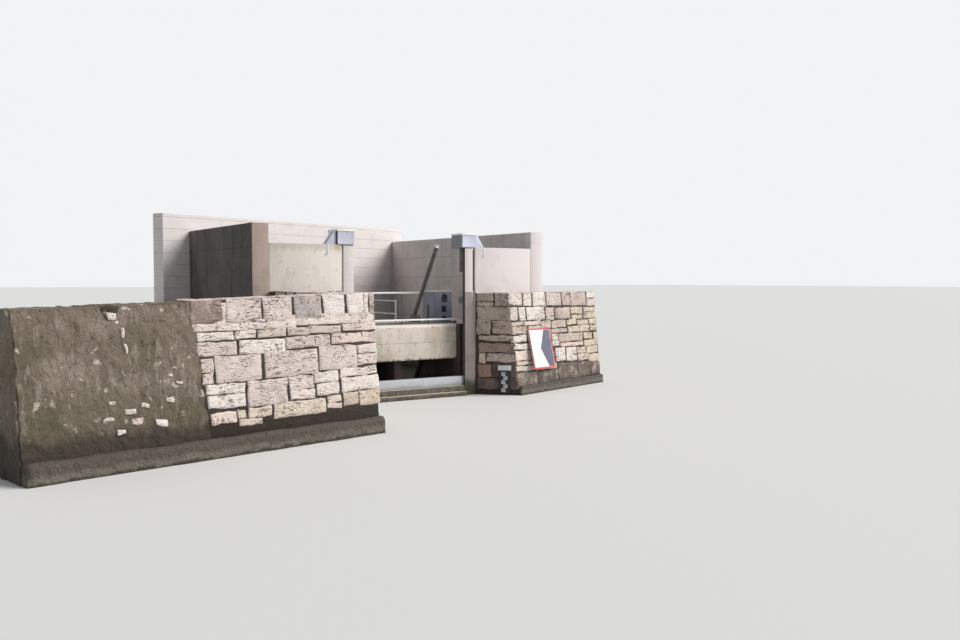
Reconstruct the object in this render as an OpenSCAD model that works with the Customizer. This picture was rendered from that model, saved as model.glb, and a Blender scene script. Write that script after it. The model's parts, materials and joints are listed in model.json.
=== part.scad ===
// Lakeside sluice: a concrete gate chamber between two battered stone abutments, with a weir leaf
// in side grooves under a breast wall, and a rack hoist that works a second, inclined leaf.
// The origin is at the middle of the gate opening, in the front plane of the guide posts, at the
// foot of the walls. +X runs along the gate to the right bank, +Y into the chamber, +Z up.

/* [Opening] */
// Clear width of the gate opening
opening_w = 3190; // [2600:10:4200]
// Height of the concrete sill
sill_h = 255; // [180:5:400]
// Height of the front step of the sill
step_h = 110; // [60:5:160]
// How far the front step of the sill stands out
step_d = 120; // [60:10:300]
// Underside of the breast wall
breast_soffit = 940; // [800:10:1200]
// Top of the breast wall and of the deck
deck_top = 1850; // [1700:10:2200]
// Front face of the breast wall behind the guide plane
breast_y = 410; // [340:10:600]
// Thickness of the breast wall
breast_t = 300; // [200:10:400]

/* [Piers and guides] */
// Width of each pier
pier_w = 320; // [280:10:500]
// Width of the guide post above the pier
post_w = 270; // [240:5:320]
// Depth of the guide post
post_d = 100; // [60:5:140]
// Width of the groove in the pier, along the flow
groove_w = 200; // [170:5:240]
// Depth of the groove into the pier
groove_d = 110; // [90:5:160]
// Front edge of the groove behind the guide plane
groove_y = 50; // [30:5:100]
// Wall of the steel guide channel
channel_t = 8; // [5:1:12]

/* [Chamber walls] */
// Clear width of the chamber
chamber_w = 7450; // [6000:50:9000]
// Thickness of the front parapet walls
parapet_t = 250; // [180:10:350]
// Top of the front parapet walls
parapet_top = 3850; // [3500:10:4200]
// Thickness of the side walls
side_t = 400; // [300:10:500]
// Top of the side walls
side_top = 4300; // [3900:10:4700]
// Thickness of the back wall
back_t = 400; // [300:10:500]
// Top of the back wall
back_top = 4740; // [4400:10:5200]
// Skew of the back wall against the gate
back_skew = 22; // [0:1:30]
// Inner right corner of the back wall behind the guide plane
back_y = 7840; // [6500:10:9000]
// Back wall past the inner face of the right side wall
back_over_right = 540; // [450:5:1200]
// Back wall past the inner face of the left side wall
back_over_left = 1270; // [500:10:2000]
// Width of the culvert mouth in the back wall
culvert_w = 1800; // [1200:50:2400]
// Height of the culvert mouth above the basin floor
culvert_h = 1200; // [800:50:1600]
// Thickness of the basin floor
floor_t = 100; // [60:10:180]

/* [Deck] */
// Thickness of the deck slab
deck_t = 200; // [150:10:300]
// Depth of the deck behind the breast wall
deck_d = 1780; // [1700:10:2400]
// Thickness of the headwall under the rear edge of the deck
head_t = 300; // [200:10:400]
// Thickness of the wall that divides the space under the deck
divider_t = 220; // [200:10:400]

/* [Weir leaf] */
// Height of the leaf
leaf_h = 240; // [160:5:320]
// Thickness of the skin plate
skin_t = 12; // [8:1:20]
// Depth of the leaf from skin to rear edge
leaf_d = 150; // [110:5:160]
// Gap between the end of the leaf and the back of its guide
leaf_gap = 12; // [6:1:25]
// Number of vertical stiffeners
rib_n = 5; // [3:1:9]
// Thickness of the stiffeners
rib_t = 10; // [6:1:16]
// Highest lift of the leaf
leaf_lift = 700; // [400:10:1000]

/* [Stem hoists] */
// Diameter of the lift stem
stem_dia = 45; // [30:1:60]
// Radial clearance of the stem in the nut on the leaf
nut_clear = 1; // [0.5:0.1:3]
// Width of the nut block on the leaf
nut_w = 72; // [65:1:76]
// Thickness of the plate under the hoist
base_t = 20; // [12:1:30]
// Width of the hood
hood_w = 435; // [380:5:560]
// Depth of the hood
hood_d = 520; // [400:10:600]
// Height of the hood with its lid
hood_h = 360; // [280:10:450]
// How far the hood stands over the opening
hood_over = 90; // [60:5:150]
// How far the left hood stands further out than the right one
left_hood_shift = 80; // [0:5:85]
// Height of the lid's rim
lid_h = 45; // [20:5:80]
// How far the lid's rim stands out
lid_rim = 10; // [4:1:20]
// Width of the sloping cover beside the hood
wing_w = 245; // [200:5:400]
// Gap between the hood and its sloping cover
wing_gap = 12; // [6:1:30]
// Length of the stem guard under the hood
guard_h = 620; // [400:10:900]
// Wall of the stem guard
guard_t = 5; // [3:1:8]
// Drop of the bent strap at the cover's outer end
strap_h = 200; // [100:10:300]

/* [Rack hoist] */
// Module of the rack and its pinion
rack_m = 16; // [12:1:18]
// Teeth on the pinion
pinion_n = 10; // [9:1:14]
// Lean of the rack towards the lake
rack_lean = 33; // [25:1:38]
// Width of the rack bar
rack_w = 70; // [50:2:90]
// Depth of the rack bar behind its teeth
rack_bar = 68; // [50:2:90]
// Length of the rack above the deck, along its lean
rack_up = 2375; // [1800:5:2700]
// Where the rack meets the deck, behind the guide plane
rack_y = 1485; // [1350:5:1700]
// Running clearance of the rack in its guides
rack_clear = 5; // [4:0.5:8]
// Thickness of the cheek plates
cheek_t = 14; // [10:1:20]
// Diameter of the pinion shaft
shaft_dia = 40; // [30:1:50]
// Height of the pinion shaft above the deck
shaft_up = 128; // [122:1:180]
// How far the shaft stands out for its crank handle
shaft_out = 90; // [60:5:140]
// Height of the inclined leaf, along its lean
sluice_h = 850; // [700:10:950]
// Thickness of the inclined leaf's plate
sluice_t = 16; // [10:1:25]
// Travel of the inclined leaf
sluice_travel = 900; // [600:10:920]

/* [Rails and cabinet] */
// Diameter of the rail tubes
rail_dia = 48; // [34:1:60]
// Height of the toe rail above the deck
toe_rail_h = 125; // [90:5:200]
// Height of the guard rail above the deck
guard_rail_h = 815; // [700:5:1100]
// Height of the side rail above the deck
side_rail_h = 610; // [500:5:900]
// Height of the side rail's lower bar above the deck
side_bar_h = 280; // [150:5:400]
// Width of the control cabinet
cabinet_w = 546; // [400:2:700]
// Depth of the control cabinet
cabinet_d = 588; // [400:2:700]
// Height of the control cabinet with its plinth
cabinet_h = 855; // [700:5:1100]
// Height of the cabinet's plinth
plinth_h = 80; // [50:5:120]
// Wall of the cabinet
cabinet_t = 15; // [5:1:20]

/* [Stone walls] */
// Top of the stone walls
stone_top = 2660; // [2400:10:3000]
// Top of the left wing wall
wing_top = 2740; // [2400:10:3000]
// Batter of the stone faces from the vertical
batter = 5.6; // [2:0.1:7]
// Thickness of the wing walls at the foot
stone_t = 900; // [800:10:1200]
// Outer right corner of the right abutment at its foot, along the gate
corner_x = 2745; // [2500:5:3200]
// Outer right corner of the right abutment at its foot, towards the lake
corner_y = 840; // [500:10:1200]
// Direction of the right abutment's lit face against the gate
face_turn = 18; // [10:1:25]
// Length of the right abutment's lit face at its foot
face_l = 4120; // [2500:10:5000]
// Right end of the left wing wall at its foot, left of the middle
wing_x = 3025; // [2600:5:3300]
// Right end of the left wing wall at its foot, towards the lake
wing_y = 4000; // [3000:10:5000]
// Direction of the left wing wall against the gate
wing_turn = 12.5; // [5:0.5:20]
// Fall of the left wing wall's top towards its far end
wing_fall = 1.4; // [0:0.1:3]
// Length of the squared stone on the left wing wall at its foot
wing_stone_l = 3850; // [3000:50:5500]
// Length of the rendered stretch of the left wing wall
wing_render_l = 2900; // [1500:50:3500]
// Height of the toe under the left wing wall
left_toe_h = 330; // [200:10:450]
// How far the left toe stands out
left_toe_d = 170; // [80:10:300]
// Height of the toe under the right abutment
right_toe_h = 240; // [150:10:350]
// How far the right toe stands out
right_toe_d = 80; // [40:10:200]

/* [Sign and gauge] */
// Width of the sign board
sign_w = 1020; // [600:10:1100]
// Height of the sign board
sign_h = 1090; // [800:10:1300]
// How far the sign board leans out more than the wall does
sign_kick = 7; // [0:1:12]
// Width of the staff gauge board
gauge_w = 290; // [150:5:300]
// Height of the staff gauge board
gauge_h = 620; // [400:10:900]

/* [Hidden] */
$fn = 48;
big = 20000;
seat = 0.3;
half_w = opening_w / 2;
pier_x = half_w + pier_w;
wall_x = chamber_w / 2;
deck_y = breast_y + breast_t;
deck_back = deck_y + deck_d;
deck_under = deck_top - deck_t;
head_y = deck_back - head_t;
post_top = parapet_top - base_t;

function back_at(x) = back_y + (x - wall_x) * tan(back_skew);

module mirrored(side) {
    if (side < 0) mirror([1, 0, 0]) children();
    else children();
}

module block(x0, x1, y0, y1, z0, z1) {
    translate([x0, y0, z0]) cube([x1 - x0, y1 - y0, z1 - z0]);
}

module plan(points, z0, z1) {
    translate([0, 0, z0]) linear_extrude(z1 - z0) polygon(points);
}

// A side profile in Y and Z, run along X from x0 to x1
module profile(points, x0, x1) {
    translate([x0, 0, 0]) rotate([90, 0, 90]) linear_extrude(x1 - x0) polygon(points);
}

// Gate opening

module sill() {
    color("silver") profile([[-step_d, 0], [deck_y, 0], [deck_y, sill_h], [0, sill_h], [0, step_h],
                             [-step_d, step_h]], -half_w, half_w);
}

module pier(side) {
    color("lightgray") mirrored(side) difference() {
        union() {
            block(half_w, pier_x, 0, deck_y, 0, deck_top);
            block(half_w, pier_x, deck_y, head_y, 0, deck_under);
            block(half_w, half_w + post_w, 0, post_d, deck_top, post_top);
        }
        block(half_w - 1, half_w + groove_d, groove_y, groove_y + groove_w, sill_h, deck_top);
        block(half_w - 1, half_w + groove_d, post_d, groove_y + groove_w, deck_top - 1, deck_top + 1);
    }
}

module breast_wall() {
    color("wheat") block(-half_w, half_w, breast_y, deck_y, breast_soffit, deck_top);
}

module guide_channel(side) {
    color("slategray") mirrored(side) difference() {
        block(half_w, half_w + groove_d, groove_y, groove_y + groove_w, sill_h, deck_top);
        block(half_w - 1, half_w + groove_d - channel_t, groove_y + channel_t,
              groove_y + groove_w - channel_t, sill_h - 1, deck_top + 1);
    }
}

// Chamber

module front_parapet(side) {
    color("lightgray") mirrored(side) block(pier_x, wall_x, 0, parapet_t, 0, parapet_top);
}

module side_wall(side) {
    inner = side * wall_x;
    outer = side * (wall_x + side_t);
    color("gray") plan([[inner, 0], [inner, back_at(inner) - seat], [outer, back_at(outer) - seat],
                        [outer, 0]], 0, side_top);
}

// A point on the back wall: distance along its face from the right corner, and depth into it
function back_point(along, off) = [wall_x + along * cos(back_skew) - off * sin(back_skew),
                                   back_y + along * sin(back_skew) + off * cos(back_skew)];

// A stretch of the back wall in plan
module back_plan(a0, a1, off0, off1, z0, z1) {
    plan([back_point(a0, off0), back_point(a1, off0), back_point(a1, off1), back_point(a0, off1)],
         z0, z1);
}

module back_wall() {
    culvert_a = -wall_x / cos(back_skew);
    color("gray") difference() {
        back_plan(2 * culvert_a - back_over_left, back_over_right, 0, back_t, 0, back_top);
        back_plan(culvert_a - culvert_w / 2, culvert_a + culvert_w / 2, -1, back_t + 1,
                  floor_t, floor_t + culvert_h);
    }
}

module basin_floor() {
    color("dimgray") {
        block(-half_w, half_w, deck_y, head_y, 0, floor_t);
        plan([[-wall_x, deck_back], [wall_x, deck_back], [wall_x, back_at(wall_x) - seat],
              [-wall_x, back_at(-wall_x) - seat]], 0, floor_t);
    }
}

// Deck over two bays, the right one with the inclined leaf

bay_x0 = divider_t / 2;
rack_x = (bay_x0 + half_w) / 2;
rack_half = rack_bar / 2;
addendum = 0.8 * rack_m;
dedendum = rack_m;
pitch = PI * rack_m;
pinion_r = pinion_n * rack_m / 2;
pinion_tip = pinion_r + addendum;
pitch_off = rack_half + dedendum;
pinion_off = pitch_off + pinion_r;
mesh_up = (shaft_up + pinion_off * sin(rack_lean)) / cos(rack_lean);
guide_half = 45;
guide_flange = 60;
guide_lip = 15;
guide_web = 8;
guide_gap = 14;
stiff_t = 12;
stiff_d = 32;
leaf_top = -(deck_t + guide_half * sin(rack_lean)) / cos(rack_lean) - 20;
plate_t = 15;
slot_x = rack_w / 2 + 3 * rack_clear;
slot_y0 = -(pitch_off + addendum) / cos(rack_lean) - plate_t * tan(rack_lean) - 3 * rack_clear;
slot_y1 = rack_half / cos(rack_lean) + deck_t * tan(rack_lean) + 3 * rack_clear;
// Underside of the headwall, just above the inclined guides
head_soffit = deck_top + (guide_half / cos(rack_lean) - (head_y - rack_y)) / tan(rack_lean) + 10;

module operating_deck() {
    color("darkgray") difference() {
        union() {
            block(-wall_x, wall_x, deck_y, deck_back, deck_under, deck_top);
            for (side = [-1, 1]) mirrored(side)
                block(pier_x, wall_x, parapet_t, deck_y, deck_under, deck_top);
        }
        block(rack_x - slot_x, rack_x + slot_x, rack_y + slot_y0, rack_y + slot_y1,
              deck_under - 1, deck_top + 1);
    }
}

module deck_headwall() {
    color("gray") difference() {
        block(-wall_x, wall_x, head_y, deck_back, 0, deck_under);
        block(bay_x0, half_w, head_y - 1, deck_back + 1, floor_t, head_soffit);
    }
}

module bay_divider() {
    color("gray") block(-bay_x0, bay_x0, deck_y, head_y, floor_t, deck_under);
}

// Weir leaf with its two fixed screw stems

leaf_half = half_w + groove_d - channel_t - leaf_gap;
leaf_y = groove_y + (groove_w - leaf_d) / 2;
leaf_z = sill_h + seat;
stem_x = leaf_half - nut_w / 2;
stem_y = leaf_y + skin_t + (leaf_d - skin_t) / 2;

module weir_leaf_skin() {
    color("lightsteelblue") block(-leaf_half, leaf_half, leaf_y, leaf_y + skin_t,
                                  leaf_z, leaf_z + leaf_h);
}

module weir_leaf_frame() {
    y0 = leaf_y + skin_t;
    y1 = leaf_y + leaf_d;
    top = leaf_z + leaf_h;
    flange_x = leaf_half - nut_w;
    step = 2 * flange_x / (rib_n + 1);
    color("lightsteelblue") difference() {
        union() {
            block(-flange_x, flange_x, y0, y1, leaf_z, leaf_z + rib_t);
            block(-flange_x, flange_x, y0, y1, top - rib_t, top);
            for (i = [1 : rib_n])
                block(-flange_x + i * step - rib_t / 2, -flange_x + i * step + rib_t / 2,
                      y0, y1, leaf_z, top);
            for (side = [-1, 1]) mirrored(side) block(flange_x, leaf_half, y0, y1, leaf_z, top);
        }
        for (side = [-1, 1])
            translate([side * stem_x, stem_y, leaf_z - 1])
                cylinder(h = leaf_h + 2, d = stem_dia + 2 * nut_clear);
    }
}

module lift_stem(side) {
    color("dimgray") translate([side * stem_x, stem_y, sill_h])
        cylinder(h = post_top - sill_h, d = stem_dia);
}

// Hoist hoods on the guide posts

hood_x0 = half_w - hood_over;
hood_x1 = hood_x0 + hood_w;
hood_y0 = -20;
wing_edge = 25;
wing_flat = 15;
wing_t = 10;
wing_front = 40;
wing_rear = 160;
wing_x0 = hood_x1 + lid_rim + wing_gap;
strap_w = 35;
strap_t = 8;
strap_foot = 50;
strap_bend = 30;
guard_w = 105;
guard_d = 160;
guard_x1 = half_w + guard_w;
guard_y1 = post_d + guard_d;

function hood_shift(side) = side < 0 ? left_hood_shift : 0;

module hoist_base(side) {
    color("slategray") mirrored(side)
        block(hood_x0 + lid_rim + hood_shift(side), pier_x - leaf_gap, hood_y0 + lid_rim,
              hood_y0 + hood_d - lid_rim, post_top, parapet_top);
}

module hoist_hood(side) {
    top = parapet_top + hood_h;
    color("lightsteelblue") mirrored(side) translate([hood_shift(side), 0, 0]) {
        block(hood_x0, hood_x1, hood_y0, hood_y0 + hood_d, parapet_top, top - lid_h);
        block(hood_x0 - lid_rim, hood_x1 + lid_rim, hood_y0 - lid_rim, hood_y0 + hood_d + lid_rim,
              top - lid_h, top);
    }
}

// The sloping outline of the cover beside the hood, from y0 to y1
module wing_slice(y0, y1) {
    translate([0, y1, 0]) rotate([90, 0, 0]) linear_extrude(y1 - y0)
        polygon([[0, 0], [wing_w, 0], [wing_w, wing_edge], [wing_flat, hood_h], [0, hood_h]]);
}

module hood_wing(side) {
    color("lightsteelblue") mirrored(side) translate([wing_x0 + hood_shift(side), 0, parapet_top]) {
        wing_slice(wing_front, wing_front + wing_t);
        wing_slice(wing_rear, parapet_t);
        block(0, wing_w, wing_front, parapet_t, 0, wing_t);
        block(0, wing_t, wing_front, parapet_t, 0, hood_h);
    }
}

module hood_strap(side) {
    x1 = wing_x0 + wing_w + hood_shift(side);
    top = parapet_top + strap_t;
    foot = parapet_top - strap_h;
    color("slategray") mirrored(side)
        profile([[0, parapet_top], [0, foot], [-strap_foot, foot - strap_bend],
                 [-strap_foot - strap_t / 2, foot - strap_bend + strap_t], [-strap_t, foot + strap_t],
                 [-strap_t, top], [wing_front - seat, top], [wing_front - seat, parapet_top]],
                x1 - strap_w, x1);
}

module stem_guard(side) {
    color("darkslategray") mirrored(side) difference() {
        block(half_w, guard_x1, post_d, guard_y1, post_top - guard_h, post_top);
        block(half_w + guard_t, guard_x1 - guard_t, post_d + guard_t, guard_y1 - guard_t,
              post_top - guard_h - 1, post_top + 1);
    }
}

// Rack hoist, in a frame that leans with the rack: z runs up along it, -y towards the lake

module leaning() {
    translate([rack_x, rack_y, deck_top]) rotate([rack_lean, 0, 0]) children();
}

rack_head = 90;
teeth_n = floor((rack_up - rack_head) / pitch);
teeth_z0 = mesh_up - floor(mesh_up / pitch) * pitch + pitch / 2;
press = 25;
backlash = 0.4;
cap_t = 12;
cap_rim = 6;
cap_edge = 8;
ear_t = 10;
ear_h = 55;

module rack_tooth() {
    root = pitch / 4 + dedendum * tan(press);
    tip = pitch / 4 - addendum * tan(press);
    polygon([[root - backlash, 0], [tip - backlash, -dedendum - addendum],
             [-tip + backlash, -dedendum - addendum], [-root + backlash, 0]]);
}

module hoist_rack() {
    color("dimgray") leaning() {
        translate([-rack_w / 2, -rack_half, leaf_top])
            cube([rack_w, rack_bar, rack_up - leaf_top]);
        for (i = [0 : teeth_n - 2])
            translate([-rack_w / 2, -rack_half, teeth_z0 + i * pitch])
                rotate([0, 90, 0]) linear_extrude(rack_w) rack_tooth();
    }
}

module rack_cap() {
    color("white") leaning() {
        x1 = rack_w / 2 + cap_rim;
        y1 = rack_half + cap_edge;
        z0 = rack_up + seat;
        block(-x1, x1, -y1, y1, z0, z0 + cap_t);
        for (side = [-1, 1]) mirrored(side)
            block(x1 - ear_t, x1, -rack_half, rack_half, z0 + cap_t, z0 + cap_t + ear_h);
    }
}

// Involute of the base circle, as a point at roll angle t in degrees
function involute(r, t) = [r * (cos(t) + t * PI / 180 * sin(t)), r * (sin(t) - t * PI / 180 * cos(t))];
function turned(p, a) = [p[0] * cos(a) - p[1] * sin(a), p[0] * sin(a) + p[1] * cos(a)];

base_r = pinion_r * cos(press);
root_r = pinion_r - dedendum - 1;
tip_roll = sqrt(pow(pinion_tip / base_r, 2) - 1) * 180 / PI;
tooth_ease = 0.3;
half_tooth = 90 / pinion_n + tan(press) * 180 / PI - press - tooth_ease;
flank_steps = 6;

// One side of a tooth from root to tip, on the tooth's own centre line
function flank() = concat([turned([root_r, 0], -half_tooth)],
    [for (i = [0 : flank_steps]) turned(involute(base_r, tip_roll * i / flank_steps), -half_tooth)]);

module pinion_outline() {
    side = flank();
    count = len(side);
    circle(r = root_r + 0.5);
    for (k = [0 : pinion_n - 1]) rotate(k * 360 / pinion_n)
        polygon(concat([[0, 0]], side, [for (i = [count - 1 : -1 : 0]) [side[i][0], -side[i][1]]]));
}

shaft_y = rack_y - pinion_off * cos(rack_lean) - mesh_up * sin(rack_lean);
cheek_in = rack_w / 2 + rack_clear;
cheek_out = cheek_in + cheek_t;
cheek_front = 290;
cheek_back = 80;
cheek_over = 80;
cheek_nose = 40;
cheek_lip = 12;
plate_side = 60;
plate_front = 30;
plate_back = 40;
roller_d = 30;
roller_up = 150;

module hoist_pinion() {
    color("slategray") translate([rack_x, shaft_y, deck_top + shaft_up]) {
        rotate([rack_lean, 0, 0]) rotate([90, 0, 90])
            translate([0, 0, -rack_w / 2]) linear_extrude(rack_w) pinion_outline();
        rotate([0, 90, 0]) translate([0, 0, -cheek_out - shaft_out])
            cylinder(h = 2 * cheek_out + shaft_out + 12, d = shaft_dia);
    }
}

module hoist_frame() {
    rise = shaft_up + cheek_over;
    front = slot_y0 - cheek_front;
    cheek = [[front, plate_t], [cheek_back, plate_t],
             [cheek_back - rise * tan(rack_lean) + cheek_lip, rise + cheek_lip],
             [shaft_y - rack_y - cheek_nose, rise], [front, shaft_up]];
    color("darkslategray") {
        translate([rack_x, rack_y, deck_top]) {
            difference() {
                block(-cheek_out - plate_side, cheek_out + plate_side, front - plate_front,
                      slot_y1 + plate_back, 0, plate_t);
                block(-slot_x, slot_x, slot_y0, slot_y1, -1, plate_t + 1);
            }
            for (side = [-1, 1]) mirrored(side) difference() {
                profile(cheek, cheek_in, cheek_out);
                translate([cheek_in - 1, shaft_y - rack_y, shaft_up]) rotate([0, 90, 0])
                    cylinder(h = cheek_t + 2, d = shaft_dia + 1);
            }
        }
        // Roller behind the rack, which takes the push of the pinion
        leaning() translate([-cheek_out, rack_half + rack_clear + roller_d / 2, roller_up])
            rotate([0, 90, 0]) cylinder(h = 2 * cheek_out, d = roller_d);
    }
}

module inclined_leaf() {
    half = (half_w - bay_x0) / 2 - guide_gap;
    inner = half - guide_flange;
    y0 = sluice_t / 2;
    foot = leaf_top - sluice_h;
    color("darkslategray") leaning() {
        block(-half, half, -y0, y0, foot, leaf_top);
        for (x = [-inner, -inner / 2, 0, inner / 2, inner])
            block(x - stiff_t / 2, x + stiff_t / 2, y0, y0 + stiff_d, foot, leaf_top);
        for (z = [foot, leaf_top - stiff_t]) block(-inner, inner, y0, y0 + stiff_d, z, z + stiff_t);
    }
}

module inclined_guides() {
    half = (half_w - bay_x0) / 2;
    color("dimgray") intersection() {
        leaning() for (side = [-1, 1]) mirrored(side) difference() {
            translate([half - guide_flange, -guide_half, -big / 4])
                cube([guide_flange, 2 * guide_half, big / 4]);
            translate([half - guide_flange - 1, -guide_half + guide_lip, -big / 4 - 1])
                cube([guide_flange + 1 - guide_web, 2 * (guide_half - guide_lip), big / 4 + 2]);
        }
        block(bay_x0, half_w, deck_y, big, floor_t, deck_under);
    }
}

// Rails on the deck

module bar(a, b, d) {
    span = b - a;
    length = norm(span);
    translate(a) rotate([0, acos(span[2] / length), atan2(span[1], span[0])])
        cylinder(h = length, d = d);
}

toe_back = 90;
toe_over = 60;
toe_post = 30;
toe_plate_low = 20;
toe_plate_high = 70;
toe_plate_t = 8;
guard_back = 670;
guard_left = 340;
stay_off = 80;
stay_dia = 40;
side_dia = 36;
side_front = 400;
side_short = 300;
toe_y = breast_y + toe_back;
guard_y = breast_y + guard_back;
guard_x0 = -half_w - guard_left;
stay_x = rack_x + stay_off;
side_y0 = breast_y + side_front;
side_y1 = deck_back - side_short;

module toe_rail() {
    z = deck_top + toe_rail_h;
    color("white") {
        bar([-half_w - toe_over, toe_y, z], [half_w + toe_over, toe_y, z], rail_dia);
        for (i = [-2 : 2])
            bar([i * half_w / 2, toe_y, deck_top], [i * half_w / 2, toe_y, z], toe_post);
        block(-half_w - toe_over, half_w + toe_over, toe_y - toe_plate_t / 2, toe_y + toe_plate_t / 2,
              deck_top + toe_plate_low, deck_top + toe_plate_high);
    }
}

module guard_rail() {
    z = deck_top + guard_rail_h;
    color("white") {
        bar([guard_x0, guard_y, z], [stay_x + rail_dia / 2, guard_y, z], rail_dia);
        bar([guard_x0 + rail_dia / 2, guard_y, deck_top], [guard_x0 + rail_dia / 2, guard_y, z],
            rail_dia);
        // Stay that leans like the rack, from the hoist's foot plate up to the rail
        intersection() {
            bar([stay_x, guard_y + 2 * guard_rail_h * tan(rack_lean), deck_top - guard_rail_h],
                [stay_x, guard_y, z], stay_dia);
            block(-big, big, -big, big, deck_top + plate_t + seat, big);
        }
    }
}

module side_rail() {
    color("white") {
        for (h = [side_bar_h, side_rail_h])
            bar([0, side_y0, deck_top + h], [0, side_y1, deck_top + h], side_dia);
        for (y = [side_y0 + side_dia / 2, side_y1 - side_dia / 2])
            bar([0, y, deck_top], [0, y, deck_top + side_rail_h], side_dia);
    }
}

// Control cabinet

cabinet_off = 652;
cabinet_x = rack_x + cabinet_off;
cabinet_y = 1400;
roof_t = 2 * cabinet_t;
roof_side = 15;
roof_front = 25;
door_t = 18;
door_gap = 5;
door_low = 25;
door_drop = 40;
pin_d = 12;
pin_h = 60;
hinge_out = 8;
hinge_x = cabinet_x - hinge_out;
hinge_y = cabinet_y - door_gap - door_t / 2;
hinge_at = [0.22, 0.8];
lug_half = 9;
lug_t = 14;
lug_in = 30;
knuckle_d = 22;
knuckle_h = 44;
leaf_start = 16;
handle_w = 70;
handle_h = 100;
handle_t = 30;
handle_at = 0.6;
handle_z = deck_top + cabinet_h - 190;
rod_w = 22;
rod_back = 290;
rod_h = 480;

function hinge_z(h) = deck_top + cabinet_h * h;

module cabinet_body() {
    top = deck_top + cabinet_h;
    color("slategray") {
        difference() {
            block(cabinet_x, cabinet_x + cabinet_w, cabinet_y, cabinet_y + cabinet_d, deck_top, top);
            block(cabinet_x + cabinet_t, cabinet_x + cabinet_w - cabinet_t, cabinet_y - 1,
                  cabinet_y + cabinet_d - cabinet_t, deck_top + plinth_h, top - roof_t);
        }
        block(cabinet_x - roof_side, cabinet_x + cabinet_w + roof_side, cabinet_y - roof_front,
              cabinet_y + cabinet_d + roof_side, top - roof_t, top);
        for (h = hinge_at) {
            z = hinge_z(h);
            block(hinge_x - lug_half, cabinet_x, hinge_y - lug_half, cabinet_y + lug_in, z, z + lug_t);
            translate([hinge_x, hinge_y, z]) cylinder(h = pin_h, d = pin_d);
        }
    }
}

module cabinet_door() {
    z0 = deck_top + plinth_h - door_low;
    z1 = deck_top + cabinet_h - door_drop;
    color("slategray") difference() {
        union() {
            block(hinge_x + leaf_start, cabinet_x + cabinet_w, hinge_y - door_t / 2,
                  hinge_y + door_t / 2, z0, z1);
            for (h = hinge_at) translate([hinge_x, hinge_y, hinge_z(h) + lug_t + 1]) {
                cylinder(h = knuckle_h, d = knuckle_d);
                translate([0, -door_t / 4, 0]) cube([leaf_start + 4, door_t / 2, knuckle_h]);
            }
        }
        for (h = hinge_at) translate([hinge_x, hinge_y, hinge_z(h) + lug_t])
            cylinder(h = knuckle_h + 2, d = pin_d + 2 * seat);
    }
}

module cabinet_handle() {
    x = cabinet_x + cabinet_w * handle_at;
    y = hinge_y - door_t / 2;
    color("black") block(x - handle_w / 2, x + handle_w / 2, y - handle_t, y,
                         handle_z, handle_z + handle_h);
}

module cabinet_rod() {
    color("black") block(cabinet_x - rod_w, cabinet_x, cabinet_y + rod_back,
                         cabinet_y + rod_back + rod_w, deck_top, deck_top + rod_h);
}

box_out = 120;
box_l = 180;
box_h = 200;
box_y = 3270;
box_z = 2300;

module junction_box() {
    color("slategray") block(wall_x - box_out, wall_x, box_y, box_y + box_l, box_z, box_z + box_h);
}

// Stone walls: plan outlines cut back to battered faces

corner = [corner_x, -corner_y];
wing = [-wing_x, -wing_y];
wing_in = [-corner_x, -corner_y];
wing_l = wing_stone_l + wing_render_l;
reach = 3000;
abutment_end = corner + face_l * [cos(face_turn), sin(face_turn)];
abutment_in = abutment_end + stone_t * [-sin(face_turn), cos(face_turn)];
side_out = wall_x + side_t;
return_dir = (wing_in - wing) / norm(wing_in - wing);
wing_dir = [cos(wing_turn), sin(wing_turn)];
wing_norm = [-sin(wing_turn), cos(wing_turn)];
wing_q = wing + return_dir * stone_t / (return_dir * wing_norm);
wing_q2 = wing_q - wing_dir * stone_t;

// The frame of a battered face: origin on its foot, x along it, -y towards the water
module on_face(foot, turn) {
    translate([foot[0], foot[1], 0]) rotate(turn) rotate([-batter, 0, 0]) children();
}

module face_cut(foot, turn) {
    on_face(foot, turn) translate([-big, -big, -big / 2]) cube([2 * big, big, big]);
}

module right_abutment() {
    out = reach * [sin(face_turn), -cos(face_turn)];
    color("antiquewhite") difference() {
        plan([[pier_x, 0], corner, corner + out, abutment_end + out, abutment_in,
              [side_out, abutment_in[1] - (abutment_in[0] - side_out) * tan(face_turn)],
              [side_out, 0]], 0, stone_top);
        face_cut(corner, face_turn);
    }
}

// A rounded toe along the foot of a battered face, from x0 to x1
module toe(foot, turn, x0, x1, depth, height) {
    round = depth * 0.6;
    color("dimgray") translate([foot[0], foot[1], 0]) rotate(turn) translate([0, -seat, 0])
        profile(concat([[0, 0], [-depth, 0]],
            [for (a = [0 : 15 : 90]) [-depth + round * (1 - cos(a)), height - round + round * sin(a)]],
            [[height * tan(batter), height]]), x0, x1);
}

module right_abutment_toe() {
    toe(corner, face_turn, 0, face_l, right_toe_d, right_toe_h);
}

// A stretch of the left wing wall, between two distances from its right end
module wing_stretch(l0, l1) {
    out = -reach * wing_norm;
    near = l0 == 0 ? [wing_q, wing, wing + out] : [wing - wing_dir * l0 + wing_norm * stone_t,
                                                   wing - wing_dir * l0 + out];
    difference() {
        plan(concat(near, [wing - wing_dir * l1 + out, wing - wing_dir * l1 + wing_norm * stone_t]),
             0, wing_top);
        face_cut(wing, wing_turn);
        translate([wing[0], wing[1], wing_top]) rotate([0, 0, wing_turn]) rotate([0, -wing_fall, 0])
            translate([-big, -big, 0]) cube([2 * big, 2 * big, big]);
    }
}

module left_wing_stone() {
    color("antiquewhite") wing_stretch(0, wing_stone_l);
}

module left_wing_render() {
    color("tan") wing_stretch(wing_stone_l, wing_l);
}

module left_return_wall() {
    off = wing_norm * seat;
    color("antiquewhite") plan([wing_q + off, wing_in, [-pier_x, 0], [-wall_x, 0], wing_q2 + off],
                               0, wing_top);
}

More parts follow.
